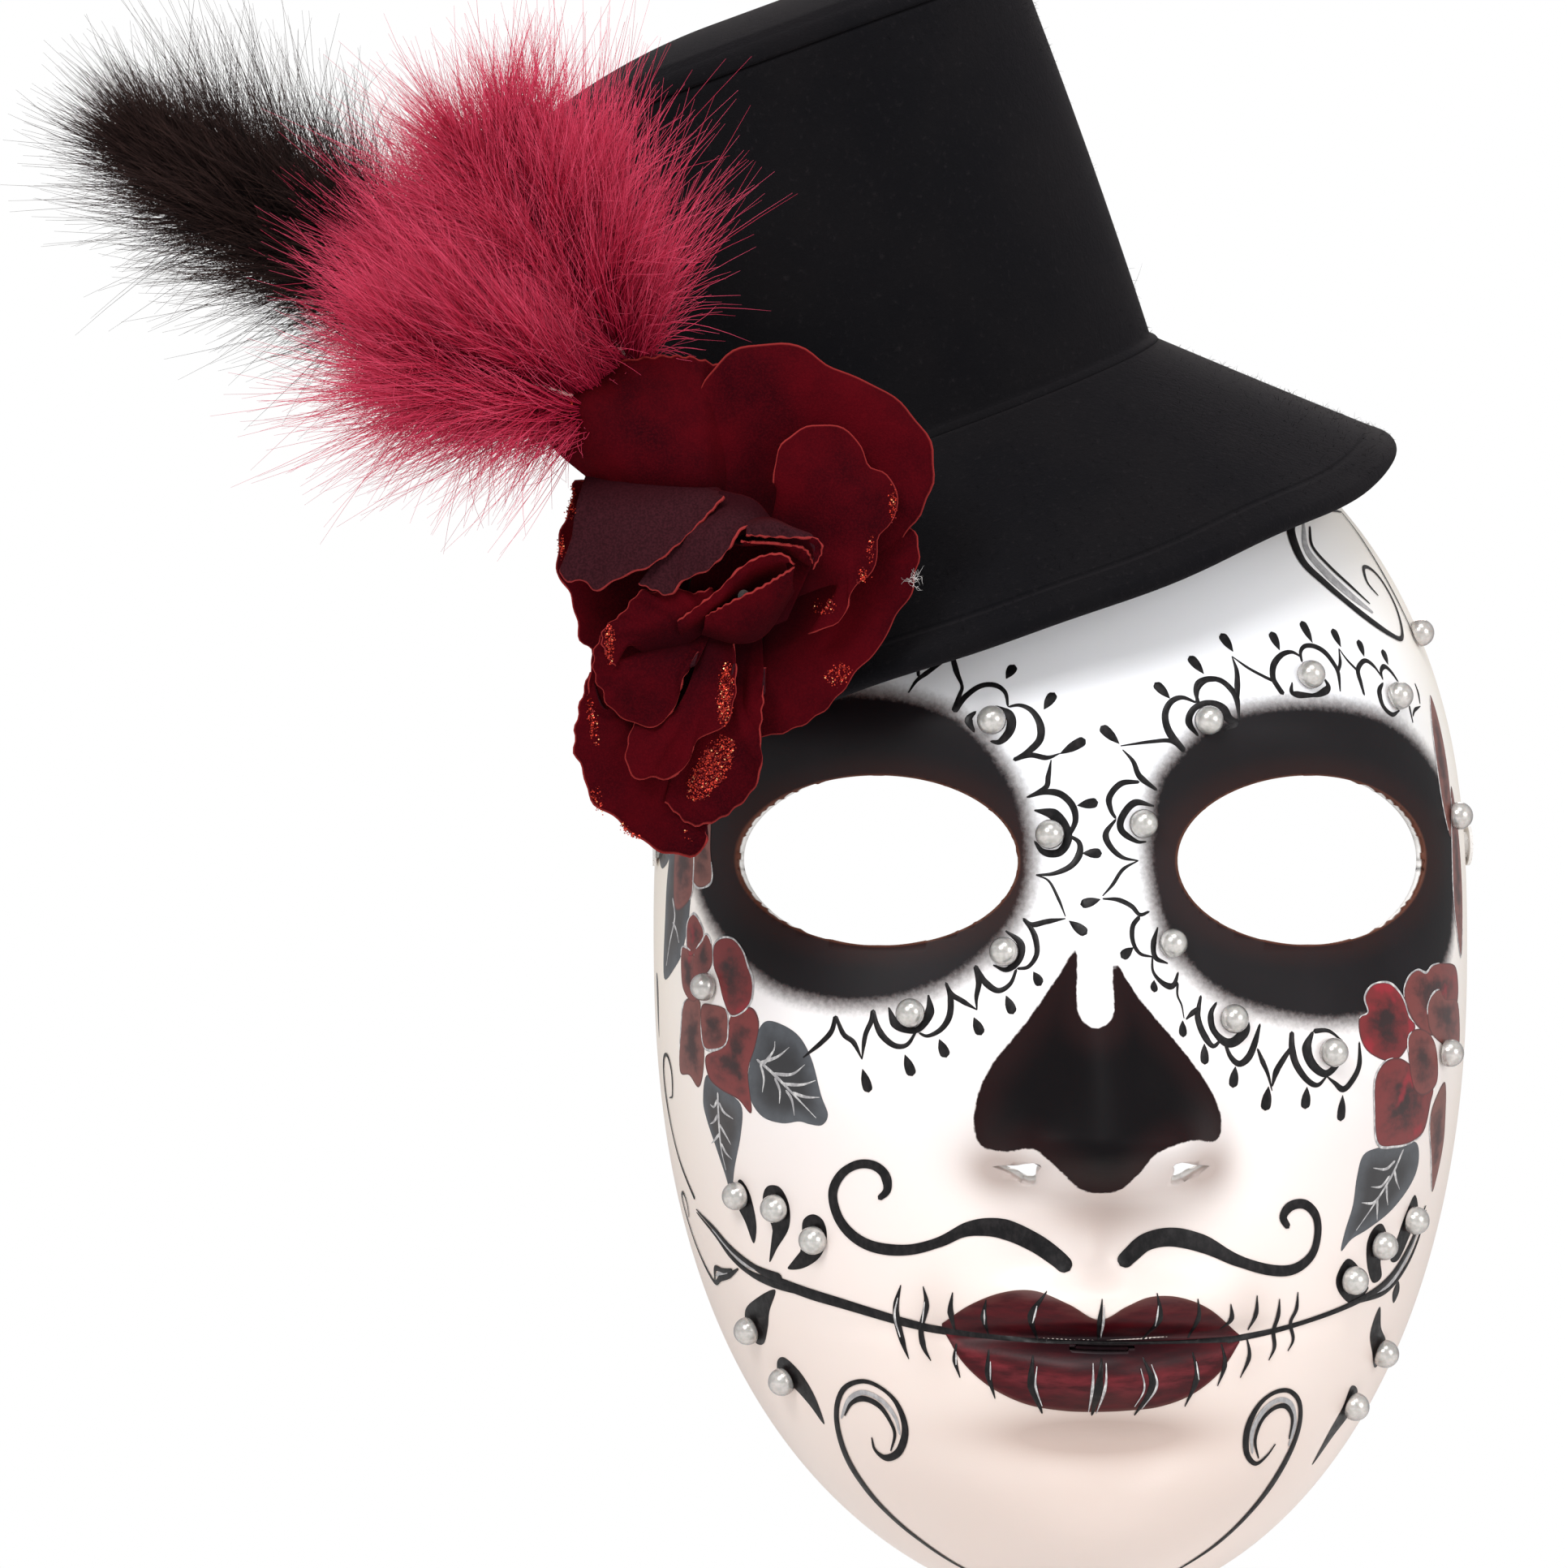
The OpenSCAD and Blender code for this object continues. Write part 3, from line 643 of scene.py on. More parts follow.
LACE = [
    ([(-35.8, 31.5), (-34.1, 33.8), (-31.9, 35.4), (-28.2, 38)], [0.3, 1.1, 0.8]),
    ([(-33.8, 37.5), (-33.7, 34.5)], [0.9, 0.6]),
    ([(-27, 38.5), (-26.3, 35.4), (-25.4, 32.7), (-26, 30.9), (-27.2, 27.8)], [1.0, 1.1, 0.6, 0.9, 1.2]),
    ([(-27.2, 27.8), (-25, 30.6), (-22, 32.7), (-19.2, 32.9), (-17.3, 31.5), (-16.9, 28.8)], [1.3, 1.1, 1.1, 0.4]),
    ([(-16.9, 28.8), (-14.6, 29.1), (-12.4, 28), (-11, 25.5), (-11.1, 22.7), (-13.2, 20.5), (-16.1, 18.9)],
     [0.4, 1.0, 1.5, 1.3, 0.4]),
    ([(-16.1, 18.9), (-12.9, 19.8), (-9.8, 19.3), (-7.4, 20.1)], [0.8, 1.0, 1.0, 0.2]),
    ([(-9, 18.9), (-9.5, 15.8), (-10, 13.7), (-13.4, 11.9)], [0.2, 1.0, 1.0, 0.3]),
    ([(-13.4, 11.9), (-10, 12.9), (-7.2, 12.5), (-5, 10.4), (-4.4, 7.6), (-5.6, 4.8)], [0.4, 1.3, 1.3, 0.8]),
    ([(-5.6, 4.8), (-3.8, 3.5), (-3.8, 1.3), (-5.4, -0.9), (-8.5, -2.3), (-11.7, -2.6)], [0.5, 1.4, 1.0, 0.3]),
    ([(-11.7, -2.6), (-9.4, -3.7), (-7.7, -7.1), (-6.6, -10.2)], [0.2, 0.5, 0.6, 0.2]),
    ([(-6.6, -10.6), (-9.9, -11.2), (-12.6, -11.8), (-14.2, -10.6)], [0.2, 1.0, 1.1, 0.4]),
    ([(-14.2, -10.6), (-12.6, -12.8), (-11.9, -14.9), (-11.9, -17.4), (-13.4, -19.6), (-15.5, -20)],
     [0.6, 1.2, 1.0, 0.5]),
    ([(-15.5, -20), (-16.7, -22.8), (-18.9, -24.1), (-21.1, -22.8), (-22.3, -21), (-23.1, -19.4)],
     [0.5, 0.9, 1.3, 0.6]),
    ([(-23.1, -19.4), (-22.5, -22.5), (-23, -25.4), (-22.9, -27.7)], [0.9, 1.2, 0.9, 0.2]),
    ([(-22.9, -27.7), (-25.8, -26), (-27.7, -24.8), (-28.8, -22.6)], [0.2, 1.0, 1.0, 0.5]),
    ([(-28.8, -22.6), (-27.9, -25.4), (-28.1, -28.8), (-29.7, -31.3), (-32.3, -32.6), (-34.1, -32)],
     [0.4, 1.2, 1.2, 0.9, 0.4]),
    ([(-34.5, -31.7), (-36.3, -34.2), (-38.6, -34.5), (-40.9, -33), (-42.3, -30.8), (-43, -27.8)],
     [0.4, 1.0, 1.3, 0.6]),
    ([(-43, -27.8), (-43.4, -29.9), (-44.7, -32.7), (-45.4, -37.1)], [1.0, 1.0, 0.9, 0.2]),
    ([(-45.4, -37.1), (-47.1, -34), (-49.2, -32.5), (-50.8, -29.1)], [0.2, 1.0, 1.0, 0.6]),
    ([(-50.8, -29.1), (-51.7, -32), (-53.9, -34.2), (-56.2, -35.9), (-58, -37.2)], [0.9, 1.1, 0.9, 0.3]),
    ([(23.1, 34.1), (20.7, 33.8), (19.1, 32.2), (18.7, 29.6)], [1.0, 1.0, 0.5]),
    ([(18.7, 29.6), (15.9, 30.6), (13.6, 29.6), (12.5, 27.1), (13.3, 23.9), (16.2, 20.5)], [0.4, 1.1, 1.3, 1.5, 0.9]),
    ([(16.2, 20.5), (13.6, 22.4), (9.8, 22.3), (3.9, 21.5)], [1.0, 0.8, 0.6, 0.2]),
    ([(4.3, 20.8), (6.3, 18.6), (7.6, 15.8), (11, 13.2)], [0.2, 0.9, 1.2, 0.5]),
    ([(7.6, 14.8), (4.1, 14.5), (1.9, 12), (2.2, 9.5), (3.2, 7.9)], [0.6, 1.2, 1.2, 0.5]),
    ([(3.2, 7.9), (1.2, 5.1), (2.1, 2.6), (4.3, 0.7), (7.3, 0.1)], [0.4, 1.3, 1.0, 0.2]),
    ([(7.3, 0.1), (4.3, -1.5), (2.2, -4.3), (0.2, -6.4)], [0.2, 0.7, 0.7, 0.2]),
    ([(0.2, -6.9), (3.1, -7.1), (5.7, -8.3), (7.3, -9.9), (9.3, -9.3)], [0.3, 1.0, 1.0, 0.4]),
    ([(7.3, -10.2), (5.8, -12), (5.7, -14.8), (7, -17), (9.5, -17.7)], [0.8, 1.1, 0.9, 0.3]),
    ([(9.5, -17.7), (9.6, -20.5), (11.6, -22.7), (13.6, -23.1), (14.7, -20.6)], [0.4, 0.8, 1.3, 0.4]),
    ([(14.5, -22.5), (14.4, -24.9), (15.2, -26.8), (15.6, -29.2)], [0.6, 0.5, 0.4, 0.2]),
    ([(16, -29.4), (17.3, -28.3), (18.8, -27.3)], [0.3, 1.1, 0.8]),
    ([(19.1, -25), (18.6, -27.3), (18.4, -29.3), (19.4, -32.1), (21.3, -34.5), (23, -33.3)], [0.5, 1.3, 1.4, 0.4]),
    ([(23.6, -33.7), (24.8, -36.5), (26.5, -37.9), (28.2, -36.9), (29.4, -34.6), (30.7, -30.4)],
     [0.5, 1.0, 1.4, 1.2, 0.4]),
    ([(30.1, -35), (31.1, -37.4), (32.2, -39.8), (33.1, -43)], [0.4, 1.0, 0.6, 0.2]),
    ([(33.1, -42.2), (33.9, -39.4), (35.4, -37), (36.9, -35)], [0.3, 1.2, 1.1, 0.7]),
    ([(37.1, -31.9), (37.1, -35.1), (38, -38.2), (40.3, -41.1), (42.6, -42.1), (44.7, -40.4)],
     [0.9, 1.4, 1.3, 1.1, 0.3]),
    ([(44.7, -40.6), (46.4, -41.8), (48.5, -43.1), (50.7, -41.4), (52.3, -38.6), (52.3, -34.2)],
     [0.3, 1.2, 1.3, 1.2, 0.4]),
    ([(19.1, 29.4), (18.6, 31.7), (19.3, 33.5), (21.4, 34.2), (23.8, 33.8), (25.7, 32.1), (26.6, 30.2), (26.8, 26.3)],
     [0.6, 1.0, 1.2, 1.3, 0.3]),
    ([(26.6, 30.2), (26.9, 32.5), (27.1, 35.7), (26.4, 38.5)], [0.9, 1.2, 0.9, 0.2]),
    ([(26.4, 38.5), (29.5, 36.3), (32.8, 34.6), (34.7, 33.8)], [0.2, 0.6, 0.7, 0.8]),
    ([(36.4, 31.2), (35.2, 33), (34.5, 34.6), (35, 37), (36.9, 38.9), (39.3, 39.5), (41.5, 38.5)],
     [1.2, 1.2, 1.3, 1.0, 0.4]),
    ([(41.4, 37.5), (41.3, 39.5), (42.5, 40.7), (44.8, 40.7), (47.2, 39.6), (49, 37.6), (50, 35.6), (49.9, 32)],
     [0.5, 1.0, 1.3, 1.1, 0.3]),
    ([(49.9, 35.8), (50.9, 37.7), (51, 40.4)], [0.7, 0.8, 0.2]),
    ([(51, 40.4), (53, 38.1), (55.5, 36.1)], [0.2, 0.6, 0.7]),
    ([(56.4, 31.3), (55.9, 33.7), (55.5, 36.1), (56.7, 37.6), (58.5, 38.2), (60.8, 37.1), (62.7, 35.1)],
     [0.6, 1.2, 1.0, 1.0, 0.3]),
    ([(62.9, 34.5), (62.8, 36.3), (64.4, 37.2), (66.7, 36), (69.1, 33.6)], [0.5, 1.1, 0.9, 0.3]),
    ([(71.3, 31), (71.6, 29.1), (72.1, 26.3)], [0.3, 0.7, 0.3]),
    ([(72.4, 27.5), (73.7, 28.8), (76.6, 29.6)], [0.4, 0.8, 0.2]),
    ([(76, 34.1), (76.8, 32.1), (76.7, 30.1)], [0.3, 0.8, 0.3]),
    ([(-19.3, 29), (-16.6, 27.1), (-16.6, 24.5), (-18.5, 22.3), (-20.4, 22.4)], [0.4, 1.8, 1.8, 1.4, 0.4]),
    ([(-23.3, 24), (-24.4, 26.4), (-22.9, 28)], [0.4, 1.6, 0.4]),
    ([(-12, 9.5), (-8.4, 8.7), (-6.2, 6.3), (-5.9, 3.8), (-7.5, 1.6), (-10.3, 1.7), (-12, 3.8)],
     [0.3, 2.2, 1.6, 1.6, 1.4, 0.4]),
    ([(-17.4, -13), (-14.8, -15.2), (-15, -18.1), (-17.3, -20.2), (-19.8, -19.4)], [0.3, 1.6, 1.4, 0.3]),
    ([(-32.1, -25), (-31.9, -28.2), (-33.6, -31), (-35.9, -31.6), (-38.6, -30.4), (-39.9, -27.4)],
     [0.3, 1.8, 1.2, 1.2, 1.8, 0.3]),
    ([(10.4, 10.3), (6.7, 10.9), (4.3, 8.2), (4.2, 5.7), (7, 3.7), (8.9, 3.6)], [0.3, 1.4, 1.4, 1.2, 0.3]),
    ([(10.8, -12.3), (9.8, -15.5), (10.2, -17.9), (12.6, -19)], [0.3, 1.3, 1.2, 0.3]),
    ([(18.8, 23.3), (17, 25.9), (18, 28.4), (20.6, 29.5), (23.2, 28.8), (24.7, 26.7), (26, 25.7), (23.6, 24.4)],
     [0.4, 1.4, 1.2, 1.4, 2.2, 1.4, 0.4]),
    ([(38.6, 33.6), (38.4, 31.6), (41.5, 31.2), (44.5, 31.4), (47, 32.8), (46, 34.8)], [0.3, 1.6, 0.8, 1.6, 0.3]),
    ([(62.9, 34), (61.2, 32.2), (61.8, 29.4), (64.5, 27.8), (67.3, 28.6)], [0.4, 1.5, 1.2, 1.0, 0.3]),
    ([(22.2, -26.3), (21, -28.5), (21.4, -31.4), (23.6, -33.7), (25.7, -33.7), (27.9, -31.4), (27.8, -29)],
     [0.4, 1.3, 1.2, 1.8, 2.0, 0.5]),
    ([(41.6, -32), (40.2, -35.1), (41.4, -38.2), (44.4, -40), (47.4, -37.8), (48.6, -35.2)],
     [0.5, 2.0, 1.8, 1.4, 1.2, 0.4]),
    ([(41.6, -32), (45, -32), (48.2, -34)], [1.0, 0.7, 0.3]),
]
LACE_DROPS = [
    ((-17, 34.1), (-15.3, 36.8)), ((-10.2, 28.3), (-8.1, 31.5)), ((-7.4, 20), (-2.6, 22.7)),
    ((-4.1, 10.4), (-0.2, 11)), ((-3.2, 1.5), (0.4, 1.5)), ((-6, -11), (-2.9, -13.4)),
    ((-12.5, -20.5), (-11.2, -23)), ((-17.5, -25), (-16.2, -28.4)), ((-23.5, -29.1), (-22.1, -32.4)),
    ((-30.1, -33.2), (-28.7, -36.6)), ((-36.8, -36.1), (-35.3, -40.1)), ((-45.3, -38.9), (-44, -43.3)),
    ((20.5, 35.1), (17.9, 38.5)), ((13.6, 30.4), (10.9, 33.4)), ((3.7, 21.9), (0.3, 25.2)),
    ((-0.2, -7), (-3.9, -8)), ((5.7, -15.9), (3.2, -17.7)), ((9.7, -22), (9.6, -24.2)),
    ((15.3, -29.6), (15.3, -32.7)), ((19.6, -34), (19.6, -37.9)), ((25.8, -38.4), (25.3, -42.4)),
    ((32.4, -42.2), (31.8, -46.8)), ((40.3, -42.4), (40, -46.6)), ((48.4, -44.2), (48.2, -49.2)),
    ((26.7, 39.4), (24.5, 42.9)), ((36.6, 39.8), (35.1, 43.4)), ((44.4, 41.4), (42.3, 45.6)),
    ((51.6, 40.7), (50, 44.3)), ((58, 39), (57, 42.3)), ((65.7, 37.6), (64.6, 40.6)),
]


def paint_lace(material):
    """The lace of arcs, points and drops round the eyes, with a dark crescent beside each pearl."""
    lace = Brushwork(0.09)
    for points, widths in LACE:
        lace.stroke(points, widths)
    for tip, head in LACE_DROPS:
        lace.drop(tip, head)
    return lace.finish("paint_lace", material)


MOUSTACHE = [
    ([(-42, -63.6), (-40.2, -61.7), (-40.7, -58.8), (-43.1, -57.1), (-46.5, -57.2), (-49.8, -59.3), (-51.6, -63),
      (-50.4, -67.6), (-47.1, -71), (-42.4, -72.8), (-36, -72.9), (-30, -71.2), (-24.5, -68.6), (-18.5, -68.3),
      (-12.6, -70.6), (-8.2, -73.6), (-6, -75.8)],
     [1.0, 2.0, 1.8, 1.6, 1.9, 2.1, 2.2, 2.2, 2.2, 2.0, 1.9, 2.2, 3.2, 3.8, 3.6, 3.4, 3.0]),
    ([(37.2, -69.2), (35.9, -67), (37.5, -65), (40.6, -64.8), (43.2, -67), (43.9, -70.6), (42.6, -74.6),
      (38.5, -77), (33, -76.8), (26, -74.6), (19.5, -71.4), (13.5, -69.9), (8.6, -70.6), (5.4, -73), (3.4, -75)],
     [1.2, 2.0, 1.8, 1.7, 1.8, 2.0, 2.1, 2.1, 2.1, 2.6, 3.4, 3.6, 3.4, 3.2, 2.8]),
]
MOUTH_LINE = [
    ([(-96, -70), (-88, -72.8), (-81, -76.4), (-73, -79.2), (-65, -80.9)], [0.3, 1.0, 1.4, 1.3, 2.6]),
    ([(-96, -70.6), (-88, -74), (-81.6, -78), (-74.7, -80.6), (-66.7, -81.8), (-60.5, -82.3)],
     [0.3, 0.8, 1.2, 1.2, 2.0, 2.0]),
    ([(-67, -81.2), (-58, -82.8), (-50.4, -84), (-43, -85.4), (-36, -86.8), (-29.5, -87.8), (-15, -89),
      (0, -89.4), (14, -89.6), (26, -89.6)], [2.2, 2.2, 1.9, 1.8, 1.6, 1.4, 0.9, 0.8, 0.8, 1.2]),
    ([(24, -89.8), (34, -88.6), (44, -86.9), (53, -85.2), (60, -83.6)], [1.2, 1.1, 1.0, 1.1, 1.4]),
    ([(56, -84.6), (64, -82.4), (70, -79), (75.5, -73.6), (79.5, -68)], [1.2, 1.6, 1.5, 1.2, 0.4]),
    ([(56, -84.6), (66, -83.6), (73.5, -79.6), (78, -74.6), (80, -69)], [1.0, 1.1, 1.1, 0.9, 0.3]),
    ([(-96, -68), (-104, -60), (-109, -51), (-110.5, -44.6), (-109, -40.5), (-105.5, -40), (-103, -43), (-103.6, -47.6),
      (-106, -48.4)], [0.9, 0.7, 0.6, 0.6, 0.9, 0.8, 0.7, 0.6, 0.3]),
    ([(-79.4, -80.1), (-84, -82), (-89, -83.2), (-93, -84.6), (-97, -82.6), (-102, -78), (-106, -72), (-106.8, -68.5),
      (-104.6, -67.6), (-102.6, -69.6), (-103.2, -72.4)], [0.4, 1.2, 1.4, 1.0, 1.0, 0.8, 0.7, 0.7, 0.7, 0.6, 0.3]),
    ([(-82, -80.6), (-86.5, -81.4), (-90.8, -81.4), (-93, -84.2)], [0.5, 1.2, 1.2, 0.4]),
]
STITCHES = [
    ([(-37.6, -79.6), (-38.6, -83.4), (-38.4, -86.6), (-37.2, -91), (-36.2, -93.6)], [0.2, 1.2, 1.5, 1.2, 0.2]),
    ([(-33.2, -79.6), (-32.6, -83), (-33.6, -87.4), (-33.2, -91), (-31.8, -93.6)], [0.2, 1.2, 1.0, 1.2, 0.2]),
    ([(-27.6, -80.4), (-28, -84), (-27, -88)], [0.2, 1.3, 0.3]),
    ([(-21.4, -81.4), (-21.8, -84.8), (-20.8, -88)], [0.2, 1.3, 0.3]),
    ([(-10.4, -79.4), (-13.2, -84), (-11.6, -89)], [0.2, 1.5, 0.3]),
    ([(-0.4, -80.6), (-0.8, -84.6), (-0.4, -89)], [0.2, 1.0, 0.3]),
    ([(10, -79.8), (10.4, -84.6), (7.8, -89)], [0.2, 1.5, 0.3]),
    ([(18, -81.2), (18.2, -84.8), (16.6, -89)], [0.2, 1.2, 0.3]),
    ([(24.8, -82.6), (25, -85.6), (23, -87.4)], [0.2, 1.2, 0.3]),
    ([(30.4, -81.4), (30.2, -85), (28.8, -88)], [0.2, 1.1, 0.3]),
    ([(35.4, -82.4), (35.2, -85.6), (34.4, -88.6), (34.6, -91.6), (33.4, -94)], [0.2, 1.0, 0.9, 0.9, 0.2]),
    ([(39.6, -81.4), (39.4, -84.6), (38.2, -87.2), (39, -90.4), (37.8, -92.6)], [0.2, 0.9, 0.8, 0.8, 0.2]),
    ([(-26.8, -90.2), (-27.2, -93), (-26.2, -96.4)], [0.3, 1.0, 0.2]),
    ([(-20.8, -91), (-21, -95), (-19.6, -100)], [0.3, 1.3, 0.2]),
    ([(-12.8, -91.6), (-13, -96.6), (-10.8, -102.6)], [0.3, 2.0, 0.3]),
    ([(-0.4, -91.8), (-1, -97), (-1.6, -103)], [0.3, 1.8, 0.4]),
    ([(7.4, -91.8), (9.2, -97), (6.4, -103)], [0.3, 1.8, 0.3]),
    ([(17.2, -91.4), (18, -96), (16, -101.6)], [0.3, 1.4, 0.2]),
    ([(23.2, -90.4), (23.8, -94), (22.4, -98)], [0.3, 1.1, 0.2]),
    ([(28.6, -89.6), (29, -93), (27.2, -96.8)], [0.3, 1.0, 0.2]),
]
STITCH_LIGHTS = [
    ([(-38.2, -82), (-38.9, -85.6), (-37.8, -89.6)], 0.5), ([(-32.9, -82.4), (-33.4, -86.4)], 0.35),
    ([(-21.7, -83.2), (-21.6, -86)], 0.35), ([(-12.2, -82), (-12.9, -85.2)], 0.4),
    ([(-0.1, -81.6), (-0.1, -85), (0, -88.4)], 0.5), ([(10.1, -82), (9.8, -85.8)], 0.4),
    ([(-12.1, -93.4), (-12.3, -97), (-10.9, -101)], 0.45), ([(-2, -92.6), (-2.1, -97), (-2.3, -102)], 0.6),
    ([(0.4, -92.6), (0.2, -97), (-0.8, -102.4)], 0.6), ([(8.9, -93), (10, -97), (7.6, -101.6)], 0.55),
    ([(6.8, -93.6), (7.6, -97.4), (6.2, -101)], 0.4), ([(17.8, -93), (18.4, -96.4)], 0.35),
    ([(-20.5, -93), (-20.5, -96.4)], 0.35), ([(-26.9, -91.6), (-26.9, -94)], 0.3),
]
CHIN_SPIRALS = [
    ([(-45.4, -109.8), (-44.9, -112.3), (-42.3, -113.6), (-39, -111.8), (-37.4, -107.3), (-39, -102.4),
      (-42.5, -99.6), (-46.6, -98.8), (-51.1, -100.7), (-53.8, -105), (-54.4, -110.4), (-53, -116.3),
      (-49, -122), (-43.6, -126.6), (-37, -130.6), (-29, -134.6), (-20, -138)],
     [0.3, 1.4, 1.6, 1.3, 0.8, 0.9, 1.1, 1.3, 1.7, 2.1, 2.1, 1.8, 1.6, 1.4, 1.2, 0.9, 0.4]),
    ([(-51.8, -106.2), (-49.6, -103.4), (-46.4, -102.2), (-43, -103.2), (-40.8, -105.8), (-39.8, -108.6),
      (-41, -112)], [0.3, 0.9, 1.2, 1.2, 0.9, 0.7, 0.3]),
    ([(36.6, -110.6), (34.6, -112.8), (32, -114), (29.6, -111.6), (29.4, -107), (31.6, -102.6), (35, -100.4),
      (38.8, -100.4), (41.8, -103), (42.6, -107.6), (41, -113), (37, -119.4), (31.6, -125), (25, -130), (16, -135)],
     [0.3, 0.8, 1.4, 1.4, 0.9, 0.9, 1.1, 1.4, 1.7, 1.8, 1.5, 1.3, 1.2, 0.9, 0.4]),
    ([(32.6, -113), (31.4, -109.4), (32.6, -105.6), (35.4, -103.4), (38.4, -103.4), (40.4, -106), (40.2, -110)],
     [0.3, 0.7, 0.8, 0.9, 1.0, 0.8, 0.3]),
]
SPIRAL_GREY = [
    ([(-53, -107), (-50.2, -103), (-46.6, -101), (-42.6, -102), (-39.6, -105), (-38.6, -108.6)], [0.4, 1.2, 0.9, 1.0, 0.4]),
    ([(31, -112), (30.6, -107.6), (33, -103.6), (36.6, -101.9), (39.8, -103.4), (41.2, -107.6), (40.4, -111.6)],
     [0.4, 1.0, 1.2, 1.0, 1.1, 1.2, 0.4]),
    ([(-91, -72.8), (-84, -75.2), (-77, -78.4), (-70, -80)], [0.3, 1.8, 1.8, 0.4]),
    ([(60, -83.8), (67, -82.4), (73, -78.2), (77.6, -72.6)], [0.3, 1.1, 1.1, 0.3]),
    ([(-84.6, -81.6), (-89, -82.2), (-91.4, -83)], [0.3, 1.3, 0.4]),
    ([(47, 65.6), (46.2, 60), (50.6, 55.2), (57, 51), (63.6, 47.8)], [0.5, 1.8, 2.2, 1.8, 0.6]),
]
BROW_SWIRL = [
    ([(66, 68.8), (58, 68.8), (50, 68.2), (45, 66.6), (42.8, 63.6), (44.4, 57.6), (49.4, 53.4), (55.7, 49.4), (62, 46.2),
      (68.5, 43.8), (73.6, 43), (75.6, 45.6), (75.4, 50), (72.4, 54.4), (68.4, 56.8), (64.6, 57), (64.2, 54),
      (67.4, 51.4)],
     [0.4, 0.9, 1.1, 1.4, 2.0, 2.2, 2.0, 1.8, 1.6, 1.7, 1.6, 1.2, 1.0, 0.8, 0.8, 0.9, 0.8, 0.3]),
    ([(48.6, 64.8), (48, 60.6), (52, 56.6), (58, 52.6), (63, 49.6)], [0.4, 0.9, 0.9, 0.8, 0.3]),
    ([(66, 68.6), (70, 64), (74.6, 57), (79.6, 49), (82.4, 44)], [0.3, 0.6, 0.7, 0.6, 0.3]),
]


def paint_lines(material):
    """Moustache, mouth line, stitches, chin spirals and the swirl on the brow."""
    lines = Brushwork(0.2)
    for points, widths in MOUSTACHE + MOUTH_LINE + STITCHES + CHIN_SPIRALS + BROW_SWIRL:
        lines.stroke(points, widths)
    return lines.finish("paint_lines", material)


def paint_greys(material):
    """Pale grey fills inside the swirls and the lit edges of the stitches."""
    greys = Brushwork(0.17)
    for points, widths in SPIRAL_GREY:
        greys.stroke(points, widths, 0.2)
    for points, width in STITCH_LIGHTS:
        greys.stroke(points, [0.15, width, 0.15], 0.9, 0.12)
    return greys.finish("paint_greys", material)


def brush_material(name, dark, light, roughness=0.38):
    """Brushed paint: streaks of two colours, a slightly raised and glossier body."""
    n = Nodes(name, IOR=1.46)
    streaks = n.ramp(n.noise(1, 5, 0.65, n.stretch((900, 900, 500))), 0.38, 0.72)
    tone = n.math("MULTIPLY", n.math("ADD", n.attribute("tone"), 0.1), streaks)
    colour = n.mix(tone, dark, light)
    rough = n.ramp(n.noise(500, 3), 0.3, 0.7, roughness - 0.06, roughness + 0.12)
    return n.finish(Base_Color=colour, Roughness=rough, Specular_IOR_Level=0.22,
                    Normal=n.bump(n.noise(2500, 3), 0.15, 0.0001))


BLACK_PAINT = brush_material("black_paint", srgb(11, 10, 12), srgb(44, 40, 41))
GREY_PAINT = brush_material("grey_paint", srgb(150, 148, 150), srgb(232, 230, 228))
paint_lace(BLACK_PAINT)
paint_lines(BLACK_PAINT)
paint_greys(GREY_PAINT)

LEFT_FLOWER = [
    # outline, tone, lift, places of the outline that carry a white line
    ([(-98, 8), (-99.8, -4.8), (-98.2, -10.5), (-91.5, -8.4), (-89.9, -4.1), (-90.7, 8)], 0.75, 0.0, (0.5, 1.0)),
    ([(-90.2, 9), (-90.2, -4.6), (-83, -4.8), (-83.4, 1.7), (-84.1, 9)], 0.95, 0.01, (0.2, 0.6)),
    ([(-95.5, -19.5), (-94.3, -17.6), (-89.5, -19.3), (-89.4, -25), (-88.5, -27.8), (-91.6, -28), (-95, -25.3)],
     0.6, 0.0, (0.0, 0.3)),
    ([(-87.5, -27.7), (-93.9, -28.3), (-96.1, -33.5), (-97.8, -42.3), (-92.8, -42.9), (-89.1, -45), (-86.9, -42.4),
      (-86, -37.1), (-87.2, -32.9)], 0.8, 0.0, (0.1, 0.3)),
    ([(-76.6, -30.2), (-71, -28.3), (-68.7, -31), (-69.8, -35.7), (-71.9, -40.9), (-71.2, -48.6), (-75, -46.3),
      (-80.4, -44.8), (-84.5, -42.8), (-85.7, -39), (-82.4, -37.4), (-78.3, -35.7)], 0.3, 0.01, (0.95, 1.0)),
    ([(-92.6, -17.5), (-92.5, -13.2), (-89.8, -11), (-86.9, -12.6), (-85.5, -15.3), (-88.3, -18.3), (-91.5, -19.4)],
     0.4, 0.02, (0.0, 0.6)),
    ([(-82.8, -16.7), (-84.6, -14.8), (-86.4, -16.3), (-89.3, -18.8), (-89.9, -23.1), (-86.9, -23.5), (-82.8, -20.9)],
     0.5, 0.03, (0.0, 0.45)),
    ([(-82, -20.9), (-82, -17.1), (-79.5, -15.4), (-75.7, -15.5), (-72.9, -17.7), (-71.5, -20.5), (-70.2, -23.2),
      (-70.6, -26.9), (-73, -29.3), (-76.6, -30.2), (-78.9, -27.3), (-80.4, -23.6)], 0.15, 0.04, (0.0, 0.8)),
    ([(-86.6, -29), (-83, -28.4), (-78.1, -29.2), (-77.5, -32.8), (-78.3, -35.7), (-81.6, -37.1), (-85.6, -37.1),
      (-86.8, -34.3)], 0.6, 0.05, (0.25, 0.95)),
]
